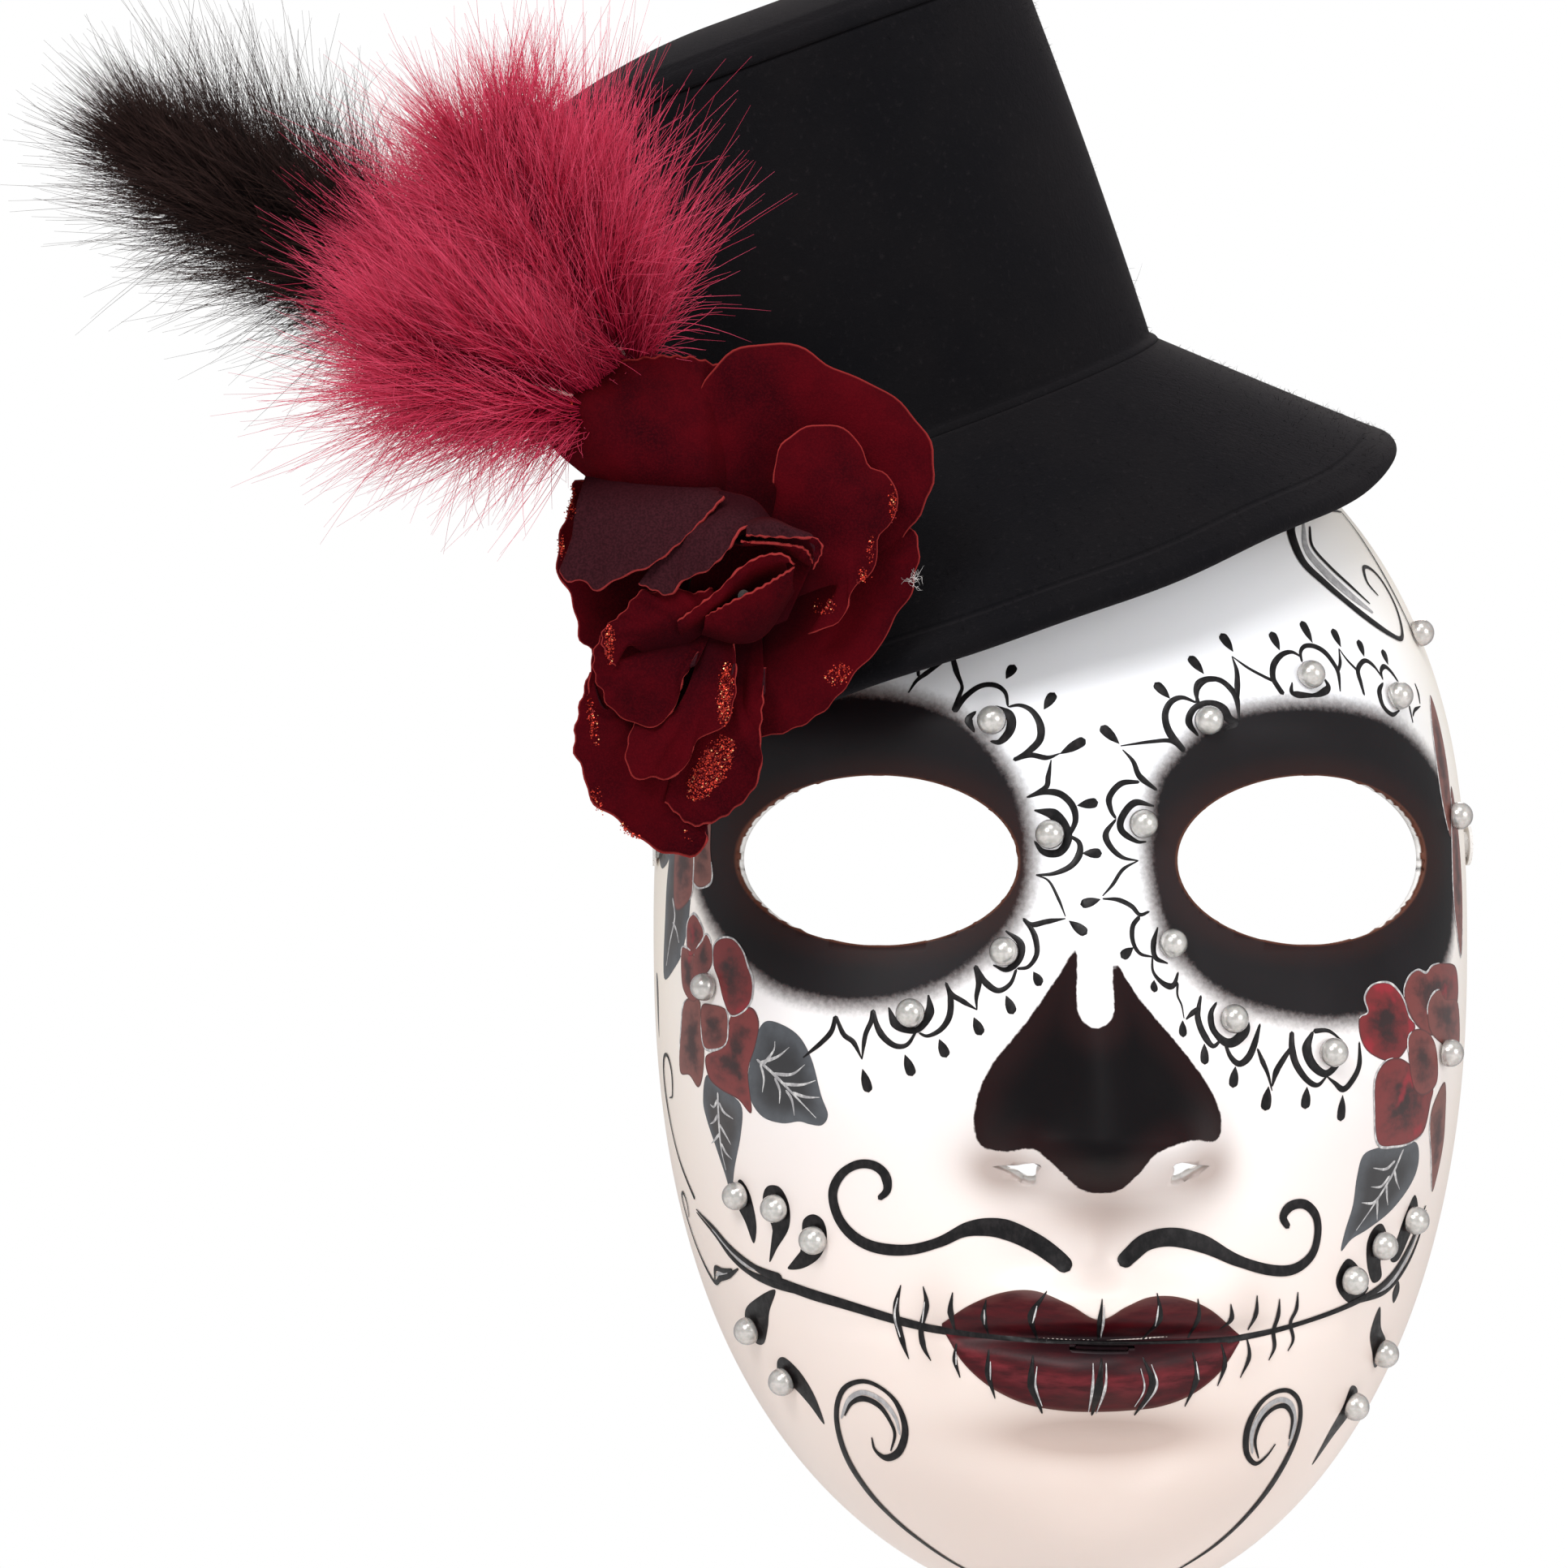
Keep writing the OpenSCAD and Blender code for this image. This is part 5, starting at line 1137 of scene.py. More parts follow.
# Each petal: rows from its fixed end to its free edge, each a curve of (x, y, height); whether
# the dusky reverse faces the viewer; and how much its cloth is crumpled, in mm.
PETALS = {
    "petal_outer_top_right": ([
        [(-3, 8, 4), (3, 8, 4), (9, 4, 4)],
        [(-8, 19, 8), (2, 25, 6.5), (14, 22, 6), (20, 6, 5)],
        [(-9.6, 26, 10.8), (-7, 36, 9.4), (2, 41, 7.6), (15, 38, 7), (26.5, 31, 7.4), (29, 20, 7.4), (26, 9, 5.5)],
        [(-9.3, 23, 11), (-8.9, 30, 10.8), (-7.6, 37, 9.4), (-4.6, 42.4, 8), (0.2, 45.6, 6.5), (6, 46.4, 5.5),
         (11.4, 45.4, 5), (15.8, 42.4, 5), (21.4, 39.9, 5), (27, 37.4, 5), (30.6, 33.6, 5.5), (33.8, 29.6, 6.5),
         (35, 23.6, 7), (33.4, 17.4, 6.5), (30.6, 13, 5.5), (26, 7, 4.6)]], 0, 0.55),
    "petal_outer_top_left": ([
        [(-12, 10, 3), (-8, 11, 3), (-3, 12, 3)],
        [(-32.8, 25.8, 9), (-24.7, 24.4, 11.5), (-16.7, 23.2, 12.5), (-8, 22.6, 12), (-3, 22, 7)],
        [(-34.6, 30, 11), (-27, 33, 13), (-18, 34, 12), (-9, 34, 10), (-3, 34, 6.4)],
        [(-32.2, 31.2, 15), (-35.6, 33.6, 14), (-34, 37.2, 10.6), (-27.9, 40, 7), (-22, 42.8, 6), (-16.7, 43.8, 5.5),
         (-10.6, 44, 5.2), (-4, 42.6, 5)]], 0, 0.7),
    "petal_outer_left": ([
        [(-9, 6, 2), (-10, 0, 2), (-9, -6, 2)],
        [(-22, 16, 3), (-23, 2, 4.6), (-21, -14, 3.6)],
        [(-26, 21.6, 4), (-30.4, 21.4, 4.4), (-31, 17.4, 4.2), (-32.8, 13, 4.2), (-33.6, 8, 4.2), (-33.2, 3.8, 4.4),
         (-31, 0.4, 4.6), (-30.2, -3.4, 4.8), (-29.4, -7.4, 4.8), (-27.2, -9.8, 4.8), (-27.6, -13.6, 4.4),
         (-27.8, -18.6, 3.4), (-24, -22, 3)]], 0, 0.6),
    "petal_outer_bottom": ([
        [(-2, -8, 2.2), (-8, -8, 2.2), (-14, -6, 2.2)],
        [(-3, -28, 5.4), (-13, -27, 7.4), (-24, -20, 6.4)],
        [(-1, -36, 4), (-5, -40.4, 4.6), (-6.7, -41.4, 5), (-6.3, -43.4, 5.2), (-7.2, -45.8, 5), (-10, -46.8, 4.4),
         (-14.3, -46, 3.6), (-18.5, -43.8, 3.4), (-21.8, -40.8, 3.6), (-25.3, -38.4, 4), (-27.9, -35.9, 4.4),
         (-28.6, -32, 4.6), (-30.4, -28, 4.4), (-30.4, -24.4, 4.2), (-29.4, -19, 4), (-27.6, -13, 3.6)]], 0, 0.7),
    "petal_outer_right": ([
        [(7, 8, 2.4), (8, 0, 2.4), (4, -7, 2.4)],
        [(22, 13, 4.5), (22, -1, 5.5), (14, -12, 6), (3, -15, 6.5)],
        [(27.6, 15, 3.6), (31.2, 12.6, 4.2), (32.3, 9, 4.8), (31.6, 4.6, 5.2), (30.4, 0, 5.2), (27.6, -3.4, 5.4),
         (25.7, -8, 5.6), (22, -11.8, 5.4), (20, -14.4, 5.2), (18, -17, 5.2), (15, -20.2, 5.2), (10.8, -23, 5.2),
         (5.9, -24.7, 5.4), (1.6, -24.9, 5.4)]], 0, 0.5),
    "petal_middle_right": ([
        [(4, 8, 9), (8, 6, 9), (9, 0, 9)],
        [(6, 18, 12), (13, 20, 13.4), (19, 14, 13.4), (17, 2, 12)],
        [(5.4, 20.6, 13), (6.2, 26, 13.4), (9, 29.4, 12.6), (13.9, 31.2, 11.6), (18.2, 30.4, 11), (21.4, 27.6, 11),
         (22.6, 23.6, 11.8), (26, 22.3, 11), (27.9, 18.8, 10.6), (26.8, 13.4, 11), (24.1, 10.6, 12), (24.1, 6, 12),
         (20.6, 2.2, 12), (19.2, 0.5, 12.6), (18.8, -2.4, 12.6), (16, -5.2, 12), (12, -6.4, 11)]], 0, 0.5),
    "petal_middle_top": ([
        [(-28, 23.2, 6.6), (-18, 22.6, 8), (-9, 21.6, 8.5), (-4, 19.5, 9)],
        [(-30, 16, 12), (-22, 14, 15), (-13, 15, 16), (-4.4, 18.4, 13)],
        [(-31, 8, 12.6), (-32.8, 4.4, 13), (-31.2, 2.6, 13.6), (-28.3, 2.8, 14), (-26.5, 0.9, 14.4), (-21.6, 3.4, 16),
         (-16.7, 5.2, 17.6), (-12.4, 8.4, 18), (-7.5, 13.2, 17.6), (-3.4, 17.8, 15)]], 1, 0.45),
    "petal_middle_left": ([
        [(-4, -3.4, 12), (-9.6, -8, 11), (-17, -10.6, 9.6)],
        [(-4.4, -1.6, 16), (-12, -3.6, 15.4), (-20.6, -8.6, 13)],
        [(-5.6, 1.4, 16), (-9.2, 0.6, 15.6), (-12.4, 1.4, 15.2), (-16.4, 0.8, 14.6), (-18.6, 0.9, 14.2),
         (-21.4, -2.6, 13.6), (-23.4, -4.4, 13.8), (-25.2, -6.2, 14.4), (-25.2, -9, 14), (-23, -12.6, 12.4)]], 0, 0.5),
    "petal_middle_bottom_left": ([
        [(-5, -5, 10), (-10, -7, 10), (-14, -7.6, 9)],
        [(-8.4, -12, 12), (-16, -14, 12.8), (-22.4, -11, 11.4)],
        [(-8, -9.8, 12.2), (-10.4, -14, 12), (-11.9, -18.6, 11.6), (-13.6, -21.8, 11), (-16, -23.2, 10.6),
         (-18.8, -23, 10.4), (-21.8, -21.4, 10.2), (-24.2, -19.6, 10.2), (-25.2, -17, 10.2), (-26.6, -14.4, 10.2),
         (-26.8, -10, 10.4), (-25.6, -7, 10.6)]], 0, 0.6),
    "petal_middle_bottom_right": ([
        [(3.6, -6, 5), (0, -7, 5), (-6, -8, 5)],
        [(4, -17, 10.4), (-3, -20, 9.6), (-10, -19, 8)],
        [(4, -12.6, 11), (3.6, -19.8, 11), (3.2, -24.9, 10), (3.5, -29.6, 8.6), (2.4, -34, 7.2), (-0.8, -37.7, 6.4),
         (-5, -40.4, 6), (-9.4, -41, 6), (-14, -37, 6)]], 0, 0.5),
    "petal_inner_right": ([
        [(-11, -7, 12), (-4.6, -3, 13), (3, 2, 14), (8, 4.6, 15)],
        [(-11.6, -6, 14.4), (-4.6, -1.4, 17.6), (1.6, 4, 19), (7.4, 6, 20)],
        [(-11.8, -4.4, 15.4), (-4.8, 0.8, 18.8), (-1, 4.6, 20), (3, 6.9, 21), (7, 7.2, 21.4), (8.9, 5.4, 21)]],
        0, 0.35),
    "petal_inner_top": ([
        [(-8, 20, 10), (-3, 19, 11), (2, 17.4, 12), (5.4, 13.6, 12)],
        [(-14, 9, 15), (-8, 11, 18.4), (-3, 12.4, 18.6), (2.4, 12.6, 16)],
        [(-18.8, 2.2, 15.2), (-15.4, 0.7, 16), (-13, 0.1, 16.8), (-10.6, 2.7, 18), (-6.3, 4.5, 19.6),
         (-2.8, 8, 20.2), (-0.4, 11.8, 19.6), (3, 12.2, 17.6)]], 1, 0.4),
    "petal_inner_left": ([
        [(-7.4, -6.6, 12.6), (-1, -8.2, 13), (4, -6.6, 13), (9, 1, 14)],
        [(-7, -5.4, 15.6), (-2, -6, 17.4), (3.6, -3.6, 17.8), (8.6, 2.6, 18.6)],
        [(-6.8, -3.6, 16.6), (-2.4, -1.2, 19.6), (2.6, 1.2, 20.8), (6, 3.2, 21), (9, 5, 20.8)]], 0, 0.35),
    "petal_inner_bottom": ([
        [(-2, -6, 10.4), (-5, -6, 10.4), (-7, -8, 10.4)],
        [(-1.6, -14, 13.6), (-6, -17, 12.8), (-12, -20, 11)],
        [(-1.7, -8.2, 13.4), (-1.2, -13.6, 13.6), (-1.8, -19.8, 13), (-3.9, -23.8, 12.4), (-8.2, -25.5, 11.6),
         (-10, -29.8, 11), (-13.6, -33, 10.4), (-16.1, -32.1, 10.2), (-18.5, -33, 10), (-20.7, -30.8, 9.8),
         (-20.9, -27, 9.6), (-19.4, -22, 9)]], 0, 0.5),
    "petal_bud_outer": ([
        [(0, 14, 13), (5, 14, 14), (9.4, 12, 14)],
        [(0.4, 12.2, 19), (6, 12.6, 20), (12.4, 10, 20.4)],
        [(0.4, 10.6, 20.4), (4.6, 10.2, 21.2), (9.6, 10, 22), (13, 9.8, 22), (13.9, 7.8, 21.6), (12.2, 4.4, 20.6)]],
        1, 0.3),
    "petal_bud_inner": ([
        [(-11, -3, 9.6), (-3, -8, 9.4), (8, -4, 9.4)],
        [(-7, 9, 10), (3, 10, 11), (12, 5, 11)],
        [(0, 9, 18), (5.6, 9, 19), (11.6, 5.6, 18.6)],
        [(-0.6, 9.6, 19.4), (5, 9.2, 20.4), (10.6, 8.4, 20.8), (12.6, 5.4, 20)]], 0, 0.3),
}
# Patches of glitter, as (x, y, half size along y, half size along x, tilt in degrees, flakes)
GLITTER = [
    (-32.4, 34.6, 3.2, 1.3, 0, 150), (14.8, -1.6, 1.4, 1.7, 20, 60), (17.4, -13.6, 1.6, 2.6, 20, 90),
    (-3.2, -17.4, 5.6, 1.2, -6, 300), (-5.6, -30.8, 6.6, 2.6, -32, 620), (-24.0, -8.4, 3.4, 0.7, 0, 110),
    (21.6, 3.8, 1.3, 0.9, 0, 40), (26.9, 16.6, 3.0, 0.5, 0, 60), (22.8, 8.6, 2.4, 0.4, 0, 26),
    (-31.4, 17.6, 3.0, 0.6, 0, 70), (-32.8, 9.4, 2.0, 0.5, 0, 40), (-27.0, -22.6, 4.4, 0.7, 8, 90),
    (-20.4, -43.2, 3.0, 1.0, 50, 80), (-26.2, -36.4, 2.4, 0.6, 20, 40), (-10, -42.8, 0.8, 0.8, 0, 6),
]


def resample(points, count):
    """count points evenly spaced along a smooth curve through the given ones."""
    curve = smooth_path(points, per=14)
    run = np.concatenate([[0], np.cumsum(np.linalg.norm(np.diff(curve, axis=0), axis=1))])
    at = np.linspace(0, run[-1], count)
    return np.stack([np.interp(at, run, curve[:, k]) for k in range(3)], axis=1)


def loft(rows, across, along):
    """A grid of points (along + 1, across + 1, 3) on the smooth surface through the rows."""
    rows = [resample(r, across + 1) for r in rows]
    columns = np.stack(rows)
    return np.stack([resample(columns[:, k], along + 1) for k in range(across + 1)], axis=1)


def grid_normals(grid, towards):
    """Unit normals of a grid, on the side that looks mostly along the given direction."""
    normal = unit(np.cross(np.gradient(grid, axis=1), np.gradient(grid, axis=0)))
    return normal if (normal @ np.asarray(towards, float)).mean() > 0 else -normal


def crumple(grid, amount, rng):
    """Adds gentle waves and creases, none at the fixed end."""
    rows, cols = grid.shape[:2]
    u = np.linspace(0, 1, rows)[:, None]
    v = np.linspace(0, 1, cols)[None, :]
    wave = np.zeros((rows, cols))
    for k in range(7):
        turns, slant, shift = rng.uniform(1.2, 6.5), rng.uniform(-3.5, 3.5), rng.uniform(0, 6.3)
        wave += np.sin(2 * math.pi * turns * v + slant * u + shift) / (1 + 0.45 * turns)
    frill = 0.5 * np.sin(2 * math.pi * rng.uniform(6, 9) * v + rng.uniform(0, 6)) * u**5
    fine = 0.12 * np.sin(2 * math.pi * 17 * v + 5 * np.sin(9 * v + rng.uniform(0, 6))) * u**3
    out = grid.copy()
    out[..., 2] += amount * (wave * u**1.4 + frill + fine) * 0.9
    edge = amount * 0.42 * np.sin(2 * math.pi * rng.uniform(9, 13) * v + 3 * np.sin(7 * v)) * u**8
    outward = unit(grid[-1:] - grid[-4:-3])
    return out + outward * edge[..., None]


def cloth_sheet(name, grid, thickness, material, attributes):
    """A closed sheet about a grid of middle points: front, back and a band joining their edges."""
    rows, cols = grid.shape[:2]
    normal = grid_normals(grid, (0, -1, 0))
    u = np.linspace(0, 1, rows)[:, None] * np.ones((1, cols))
    half = 0.5 * thickness * np.ones((rows, cols, 1))
    front, back = grid + normal * half, grid - normal * half
    index = np.arange(rows * cols).reshape(rows, cols)
    quads = np.stack([index[:-1, :-1], index[:-1, 1:], index[1:, 1:], index[1:, :-1]], axis=-1).reshape(-1, 4)
    loop = np.concatenate([index[0, :], index[1:, -1], index[-1, -2::-1], index[-2:0:-1, 0]])
    n = rows * cols
    rim = np.stack([loop, loop + n, np.roll(loop, -1) + n, np.roll(loop, -1)], axis=1)
    verts = np.concatenate([front.reshape(-1, 3), back.reshape(-1, 3)])
    faces = np.concatenate([quads, quads[:, ::-1] + n, rim]).tolist()
    across = np.linspace(0, 1, cols)[None, :] * np.ones((rows, 1))
    values = {"u": u, "v": across, **attributes}
    values = {k: np.concatenate([np.broadcast_to(a, (rows, cols)).ravel()] * 2) for k, a in values.items()}
    values["back"] = np.repeat([0.0, 1.0], n)
    obj = new_object(name, verts, faces, material, attributes=values)
    turn_outwards(obj)
    return obj


def turn_outwards(obj):
    """Makes the faces of closed pieces look outwards."""
    work = bmesh.new()
    work.from_mesh(obj.data)
    bmesh.ops.recalc_face_normals(work, faces=work.faces)
    work.to_mesh(obj.data)
    work.free()


def rose_point(p):
    """Rose frame to row frame, in mm."""
    p = np.asarray(p, float)
    return ROSE_AT + np.stack([p[..., 0], -p[..., 2], p[..., 1]], axis=-1)


def petal_material(name, turned):
    """Cotton velvet with a smooth dusky reverse and a pale cut edge; turned petals show the reverse."""
    n = Nodes(name, Roughness=0.85, Sheen_Weight=0.1, Sheen_Roughness=0.4, Sheen_Tint=srgb(190, 40, 40),
              Specular_IOR_Level=0.04)
    crushed = n.noise(60, 4, 0.6)
    pile = n.noise(2600, 2, 0.6)
    velvet = n.mix(n.ramp(crushed, 0.3, 0.74), srgb(36, 0, 5), srgb(66, 1, 8))
    velvet = n.mix(n.ramp(pile, 0.35, 0.75, 0, 0.3), velvet, srgb(86, 5, 13))
    weave = n.noise(1, 3, 0.5, n.stretch((2600, 1800, 2600)))
    reverse = n.mix(n.ramp(weave, 0.35, 0.65), srgb(38, 14, 19), srgb(52, 21, 27))
    back = n.ramp(n.attribute("back"), 0.45, 0.55)
    if turned:
        back = n.math("SUBTRACT", 1.0, back)
    colour = n.mix(back, velvet, reverse)
    cut = n.ramp(n.attribute("cut"), 0.5, 0.95)
    colour = n.mix(n.math("MULTIPLY", cut, 0.55), colour, srgb(176, 60, 58))
    # Painted shade: each petal darker towards its fixed end, deep inside the rose.
    deep = n.ramp(n.attribute("u"), 0.0, 0.55, 0.75, 0)
    colour = n.mix(deep, colour, srgb(34, 2, 7))
    height = n.math("ADD", pile, n.math("MULTIPLY", n.noise(420, 3), 0.8))
    return n.finish(Base_Color=colour, Normal=n.bump(height, 0.4, 0.0003))


def make_rose():
    rng = np.random.default_rng(11)
    velvet, turned = petal_material("petal_velvet", False), petal_material("petal_velvet_turned", True)
    grids = {}
    for name, (rows, reverse, crumpled) in PETALS.items():
        grid = crumple(loft(rows, ACROSS, ALONG), crumpled, rng)
        u = np.linspace(0, 1, ALONG + 1)[:, None]
        reach = np.linalg.norm(np.diff(grid, axis=0), axis=2).sum(0)[None, :]
        cut = np.clip(1 - (1 - u) * reach / 0.55, 0, 1)
        world = rose_point(grid)
        obj = cloth_sheet(name + "_cloth", world, PETAL_T, turned if reverse else velvet, {"cut": cut})
        place(obj, "dusky_velvet" if reverse else "velvet", name)
        grids[name] = grid
    return grids


def glitter_material():
    n = Nodes("glitter", Metallic=0.7, Roughness=0.35)
    tone = n.attribute("tone")
    colour = n.mix(n.ramp(tone, 0.2, 0.8), srgb(100, 8, 12), srgb(190, 52, 34))
    # Painted glints: a few flakes are pale orange, standing in for sparkle.
    colour = n.mix(n.ramp(tone, 0.95, 0.98), colour, srgb(255, 190, 130))
    # Painted light: a faint glow in the glitter's own colour.
    return n.finish(Base_Color=colour, Emission_Color=colour, Emission_Strength=0.08)


def front_of_rose(grids, x, y):
    """The frontmost petal point near (x, y) and its normal."""
    best = None
    for grid in grids.values():
        d = np.hypot(grid[..., 0] - x, grid[..., 1] - y)
        k = np.unravel_index(d.argmin(), d.shape)
        if d[k] < 1.0 and (best is None or grid[k][2] > best[0][2]):
            best = (grid[k], grid_normals(grid, (0, 0, 1))[k])
    return best


def make_glitter(grids):
    """Six-sided flakes scattered over the petals where the photo shows glitter."""
    rng = np.random.default_rng(5)
    verts, faces, tones = [], [], []
    for x, y, tall, wide, tilt, count in GLITTER:
        a = math.radians(tilt)
        for _ in range(int(count * 1.7)):
            r, t = math.sqrt(rng.random()), rng.uniform(0, 2 * math.pi)
            du, dv = wide * r * math.cos(t), tall * r * math.sin(t)
            found = front_of_rose(grids, x + du * math.cos(a) - dv * math.sin(a), y + du * math.sin(a) + dv * math.cos(a))
            if found is None:
                continue
            at, normal = found
            normal = unit(normal + rng.normal(0, 0.35, 3))
            side = unit(np.cross(normal, rng.normal(0, 1, 3)))
            other = np.cross(normal, side)
            size = rng.uniform(0.09, 0.17)
            spot = at + (du * 0 + rng.normal(0, 0.22, 3) * (1, 1, 0)) + unit(normal) * (PETAL_T / 2 + rng.uniform(0.06, 0.2))
            count_now = len(verts)
            for k in range(6):
                b = k * math.pi / 3
                verts.append(spot + size * (math.cos(b) * side + math.sin(b) * other))
            for k in range(6):
                verts.append(verts[count_now + k] - normal * 0.04)
            faces += [tuple(count_now + k for k in range(6)), tuple(count_now + 11 - k for k in range(6))]
            faces += [(count_now + k, count_now + 6 + k, count_now + 6 + (k + 1) % 6, count_now + (k + 1) % 6)
                      for k in range(6)]
            tones += [rng.random()] * 12
    obj = new_object("rose_glitter", rose_point(np.array(verts)), faces, glitter_material(), False, {"tone": tones})
    turn_outwards(obj)
    return place(obj, "velvet")


def make_lint():
    """A wisp of pale lint caught on the petal's right edge."""
    rng = np.random.default_rng(3)
    at = np.array([31.0, 3.6, 6.4])
    curves = []
    for _ in range(26):
        points, p, d = [], at + rng.normal(0, 0.5, 3), unit(rng.normal(0, 1, 3) * (1, 1, 0.4))
        for _ in range(7):
            points.append(p)
            d = unit(d + rng.normal(0, 0.5, 3))
            p = p + d * 0.42
        curves.append(rose_point(points))
    return hairs("rose_lint", curves, 0.045, lint_material(), "thread")


def lint_material():
    return Nodes("lint", Roughness=0.8).finish(Base_Color=srgb(206, 202, 200))


def hairs(name, curves, radius, material, slot, *nodes):
    """Thin tapering strands, each a closed three-sided tube along its points."""
    curves = np.asarray(curve_list(curves), float)
    strands, n = curves.shape[:2]
    ahead = unit(np.gradient(curves, axis=1))
    side = unit(np.cross(ahead, (0.31, 0.87, 0.38)))
    other = np.cross(ahead, side)
    along = np.linspace(0, 1, n)
    thick = np.broadcast_to(radius, strands)[:, None, None] * (1 - 0.8 * along**1.5)[None, :, None]
    ring = [curves + thick * (math.cos(b) * side + math.sin(b) * other) for b in (0, 2.0944, 4.1888)]
    verts = np.stack(ring, axis=1).reshape(-1, 3)
    start = (np.arange(strands) * 3 * n)[:, None, None]
    k = np.arange(3)[None, :, None]
    i = np.arange(n - 1)[None, None, :]
    a, b = start + k * n + i, start + (k + 1) % 3 * n + i
    quads = np.stack([a, b, b + 1, a + 1], axis=-1).reshape(-1, 4)
    first = start[:, 0]
    caps = np.concatenate([np.hstack([first + 2 * n, first + n, first]),
                           np.hstack([first + n - 1, first + 2 * n - 1, first + 3 * n - 1])])
    tones = np.repeat(np.random.default_rng(strands).random(strands), 3 * n)
    obj = fast_object(name, verts, quads, caps, material,
                      {"along": np.tile(along, 3 * strands), "tone": tones})
    return place(obj, slot, *nodes)


def curve_list(curves):
    return curves if isinstance(curves, np.ndarray) else np.stack([np.asarray(c, float) for c in curves])


def fast_object(name, verts, quads, triangles, material, attributes):
    """A mesh object from arrays of four- and three-cornered faces."""
    mesh = bpy.data.meshes.new(name)
    loops = np.concatenate([quads.ravel(), triangles.ravel()])
    starts = np.concatenate([np.arange(len(quads)) * 4, len(quads) * 4 + np.arange(len(triangles)) * 3])
    mesh.vertices.add(len(verts))
    mesh.vertices.foreach_set("co", (verts * MM).astype(np.float32).ravel())
    mesh.loops.add(len(loops))
    mesh.loops.foreach_set("vertex_index", loops.astype(np.int32))
    mesh.polygons.add(len(starts))
    mesh.polygons.foreach_set("loop_start", starts.astype(np.int32))
    mesh.update(calc_edges=True)
    for key, values in attributes.items():
        mesh.attributes.new(key, "FLOAT", "POINT").data.foreach_set("value", values.astype(np.float32))
    mesh.materials.append(material)
    obj = bpy.data.objects.new(name, mesh)
    bpy.context.scene.collection.objects.link(obj)
    return obj


rose_grids = make_rose()
make_glitter(rose_grids)
make_lint()

# ---- the felt top hat --------------------------------------------------------------

HAT_AT = np.array([-31.0, -8.0, 86.0])
HAT_TURN = Matrix.Rotation(math.radians(-20.5), 3, "Y") @ Matrix.Rotation(math.radians(8), 3, "X")
HAT_STRAIGHT = 21.0
CROWN_R, CROWN_TOP_R, CROWN_H, CROWN_DOME = 42.0, 41.5, 80.0, 8.0
BRIM_R, BRIM_DROP = 79.0, 34.0
FELT, BOARD, GAP = 1.4, 0.8, 0.15
BRIM_DIR = np.array([BRIM_R - CROWN_R, -BRIM_DROP]) / math.hypot(BRIM_R - CROWN_R, BRIM_DROP)
BRIM_NORMAL = np.array([-BRIM_DIR[1], BRIM_DIR[0]])
BRIM_IN = np.array([CROWN_R, 0]) + 0.2 * BRIM_DIR
BRIM_OUT = np.array([BRIM_R, -BRIM_DROP])


def oval_ring():
    """Unit directions and sideways shifts round the hat's oval: two half circles joined by straights."""
    turns, shifts = [], []
    for centre, shift in ((0.0, 0.5), (math.pi, -0.5)):
        for a in np.linspace(-math.pi / 2, math.pi / 2, 73):
            turns.append(centre + a)
            shifts.append(shift * HAT_STRAIGHT)
        for k in range(1, 12):
            turns.append(centre + math.pi / 2)
            shifts.append(shift * HAT_STRAIGHT * (1 - k / 6))
    turns = np.array(turns)
    return np.cos(turns), np.sin(turns), np.array(shifts)


def brim_shift(angle, share):
    """How far the brim lifts out of its even oval and draws in, in mm, most at its edge.

    It is cut narrower beside the rose, where the photo shows none of it."""
    wave = 0.7 * np.sin(3 * angle + 0.6) + 0.4 * np.sin(7 * angle + 2) + 0.25 * np.sin(12 * angle)
    turn = np.angle(np.exp(1j * (angle - math.radians(178))))
    trim = 20 * share * np.exp(-((turn / 0.52) ** 2))
    return wave * share**2 + trim * BRIM_DROP / (BRIM_R - CROWN_R), trim


def turned_felt(name, profile, material, slot, nodes, brim=False):
    """A piece turned about the hat's oval from a closed profile of (radius, height) points."""
    cos, sin, shift = oval_ring()
    profile = np.asarray(profile, float)
    n, rows = len(cos), len(profile)
    radius, height = profile[:, :1], profile[:, 1:]
    x, y = radius * cos + shift * (radius > 0.01), radius * sin + 0 * height
    z = np.broadcast_to(height, x.shape).copy()
    if brim:
        share = np.clip((radius - BRIM_IN[0]) / (BRIM_R - BRIM_IN[0]), 0, 1.1)
        lift, trim = brim_shift(np.arctan2(y, x), share)
        x, y, z = x - trim * cos, y - trim * sin, z + lift
    local = np.stack([x, y, z], axis=-1)
    index = np.arange(rows * n).reshape(rows, n)
    below, following = np.roll(index, -1, axis=0), np.roll(index, -1, axis=1)
    faces = np.stack([index, below, np.roll(below, -1, axis=1), following], axis=-1).reshape(-1, 4).tolist()
    share = np.broadcast_to(np.linspace(0, 1, rows)[:, None], (rows, n)).ravel()
    edge = np.broadcast_to(np.clip((radius - BRIM_IN[0]) / (BRIM_R - BRIM_IN[0]), 0, 1), (rows, n)).ravel()
    world = HAT_AT + local.reshape(-1, 3) @ np.array(HAT_TURN).T
    obj = new_object(name, world, faces, material, attributes={"row": share, "edge": edge})
    turn_outwards(obj)
    return place(obj, slot, *nodes)


def strip(a, b, count, bow=0.0):
    """Points from a to b, bowed to the left of the way."""
    a, b = np.asarray(a, float), np.asarray(b, float)
    t = np.linspace(0, 1, count)[:, None]
    side = np.array([-(b - a)[1], (b - a)[0]]) / np.linalg.norm(b - a)
    return a + (b - a) * t + side * bow * 4 * t * (1 - t)


def round_end(centre, radius, start, end, count=9):
    """An arc of profile points."""
    a = np.radians(np.linspace(start, end, count))
    return np.stack([centre[0] + radius * np.cos(a), centre[1] + radius * np.sin(a)], axis=1)


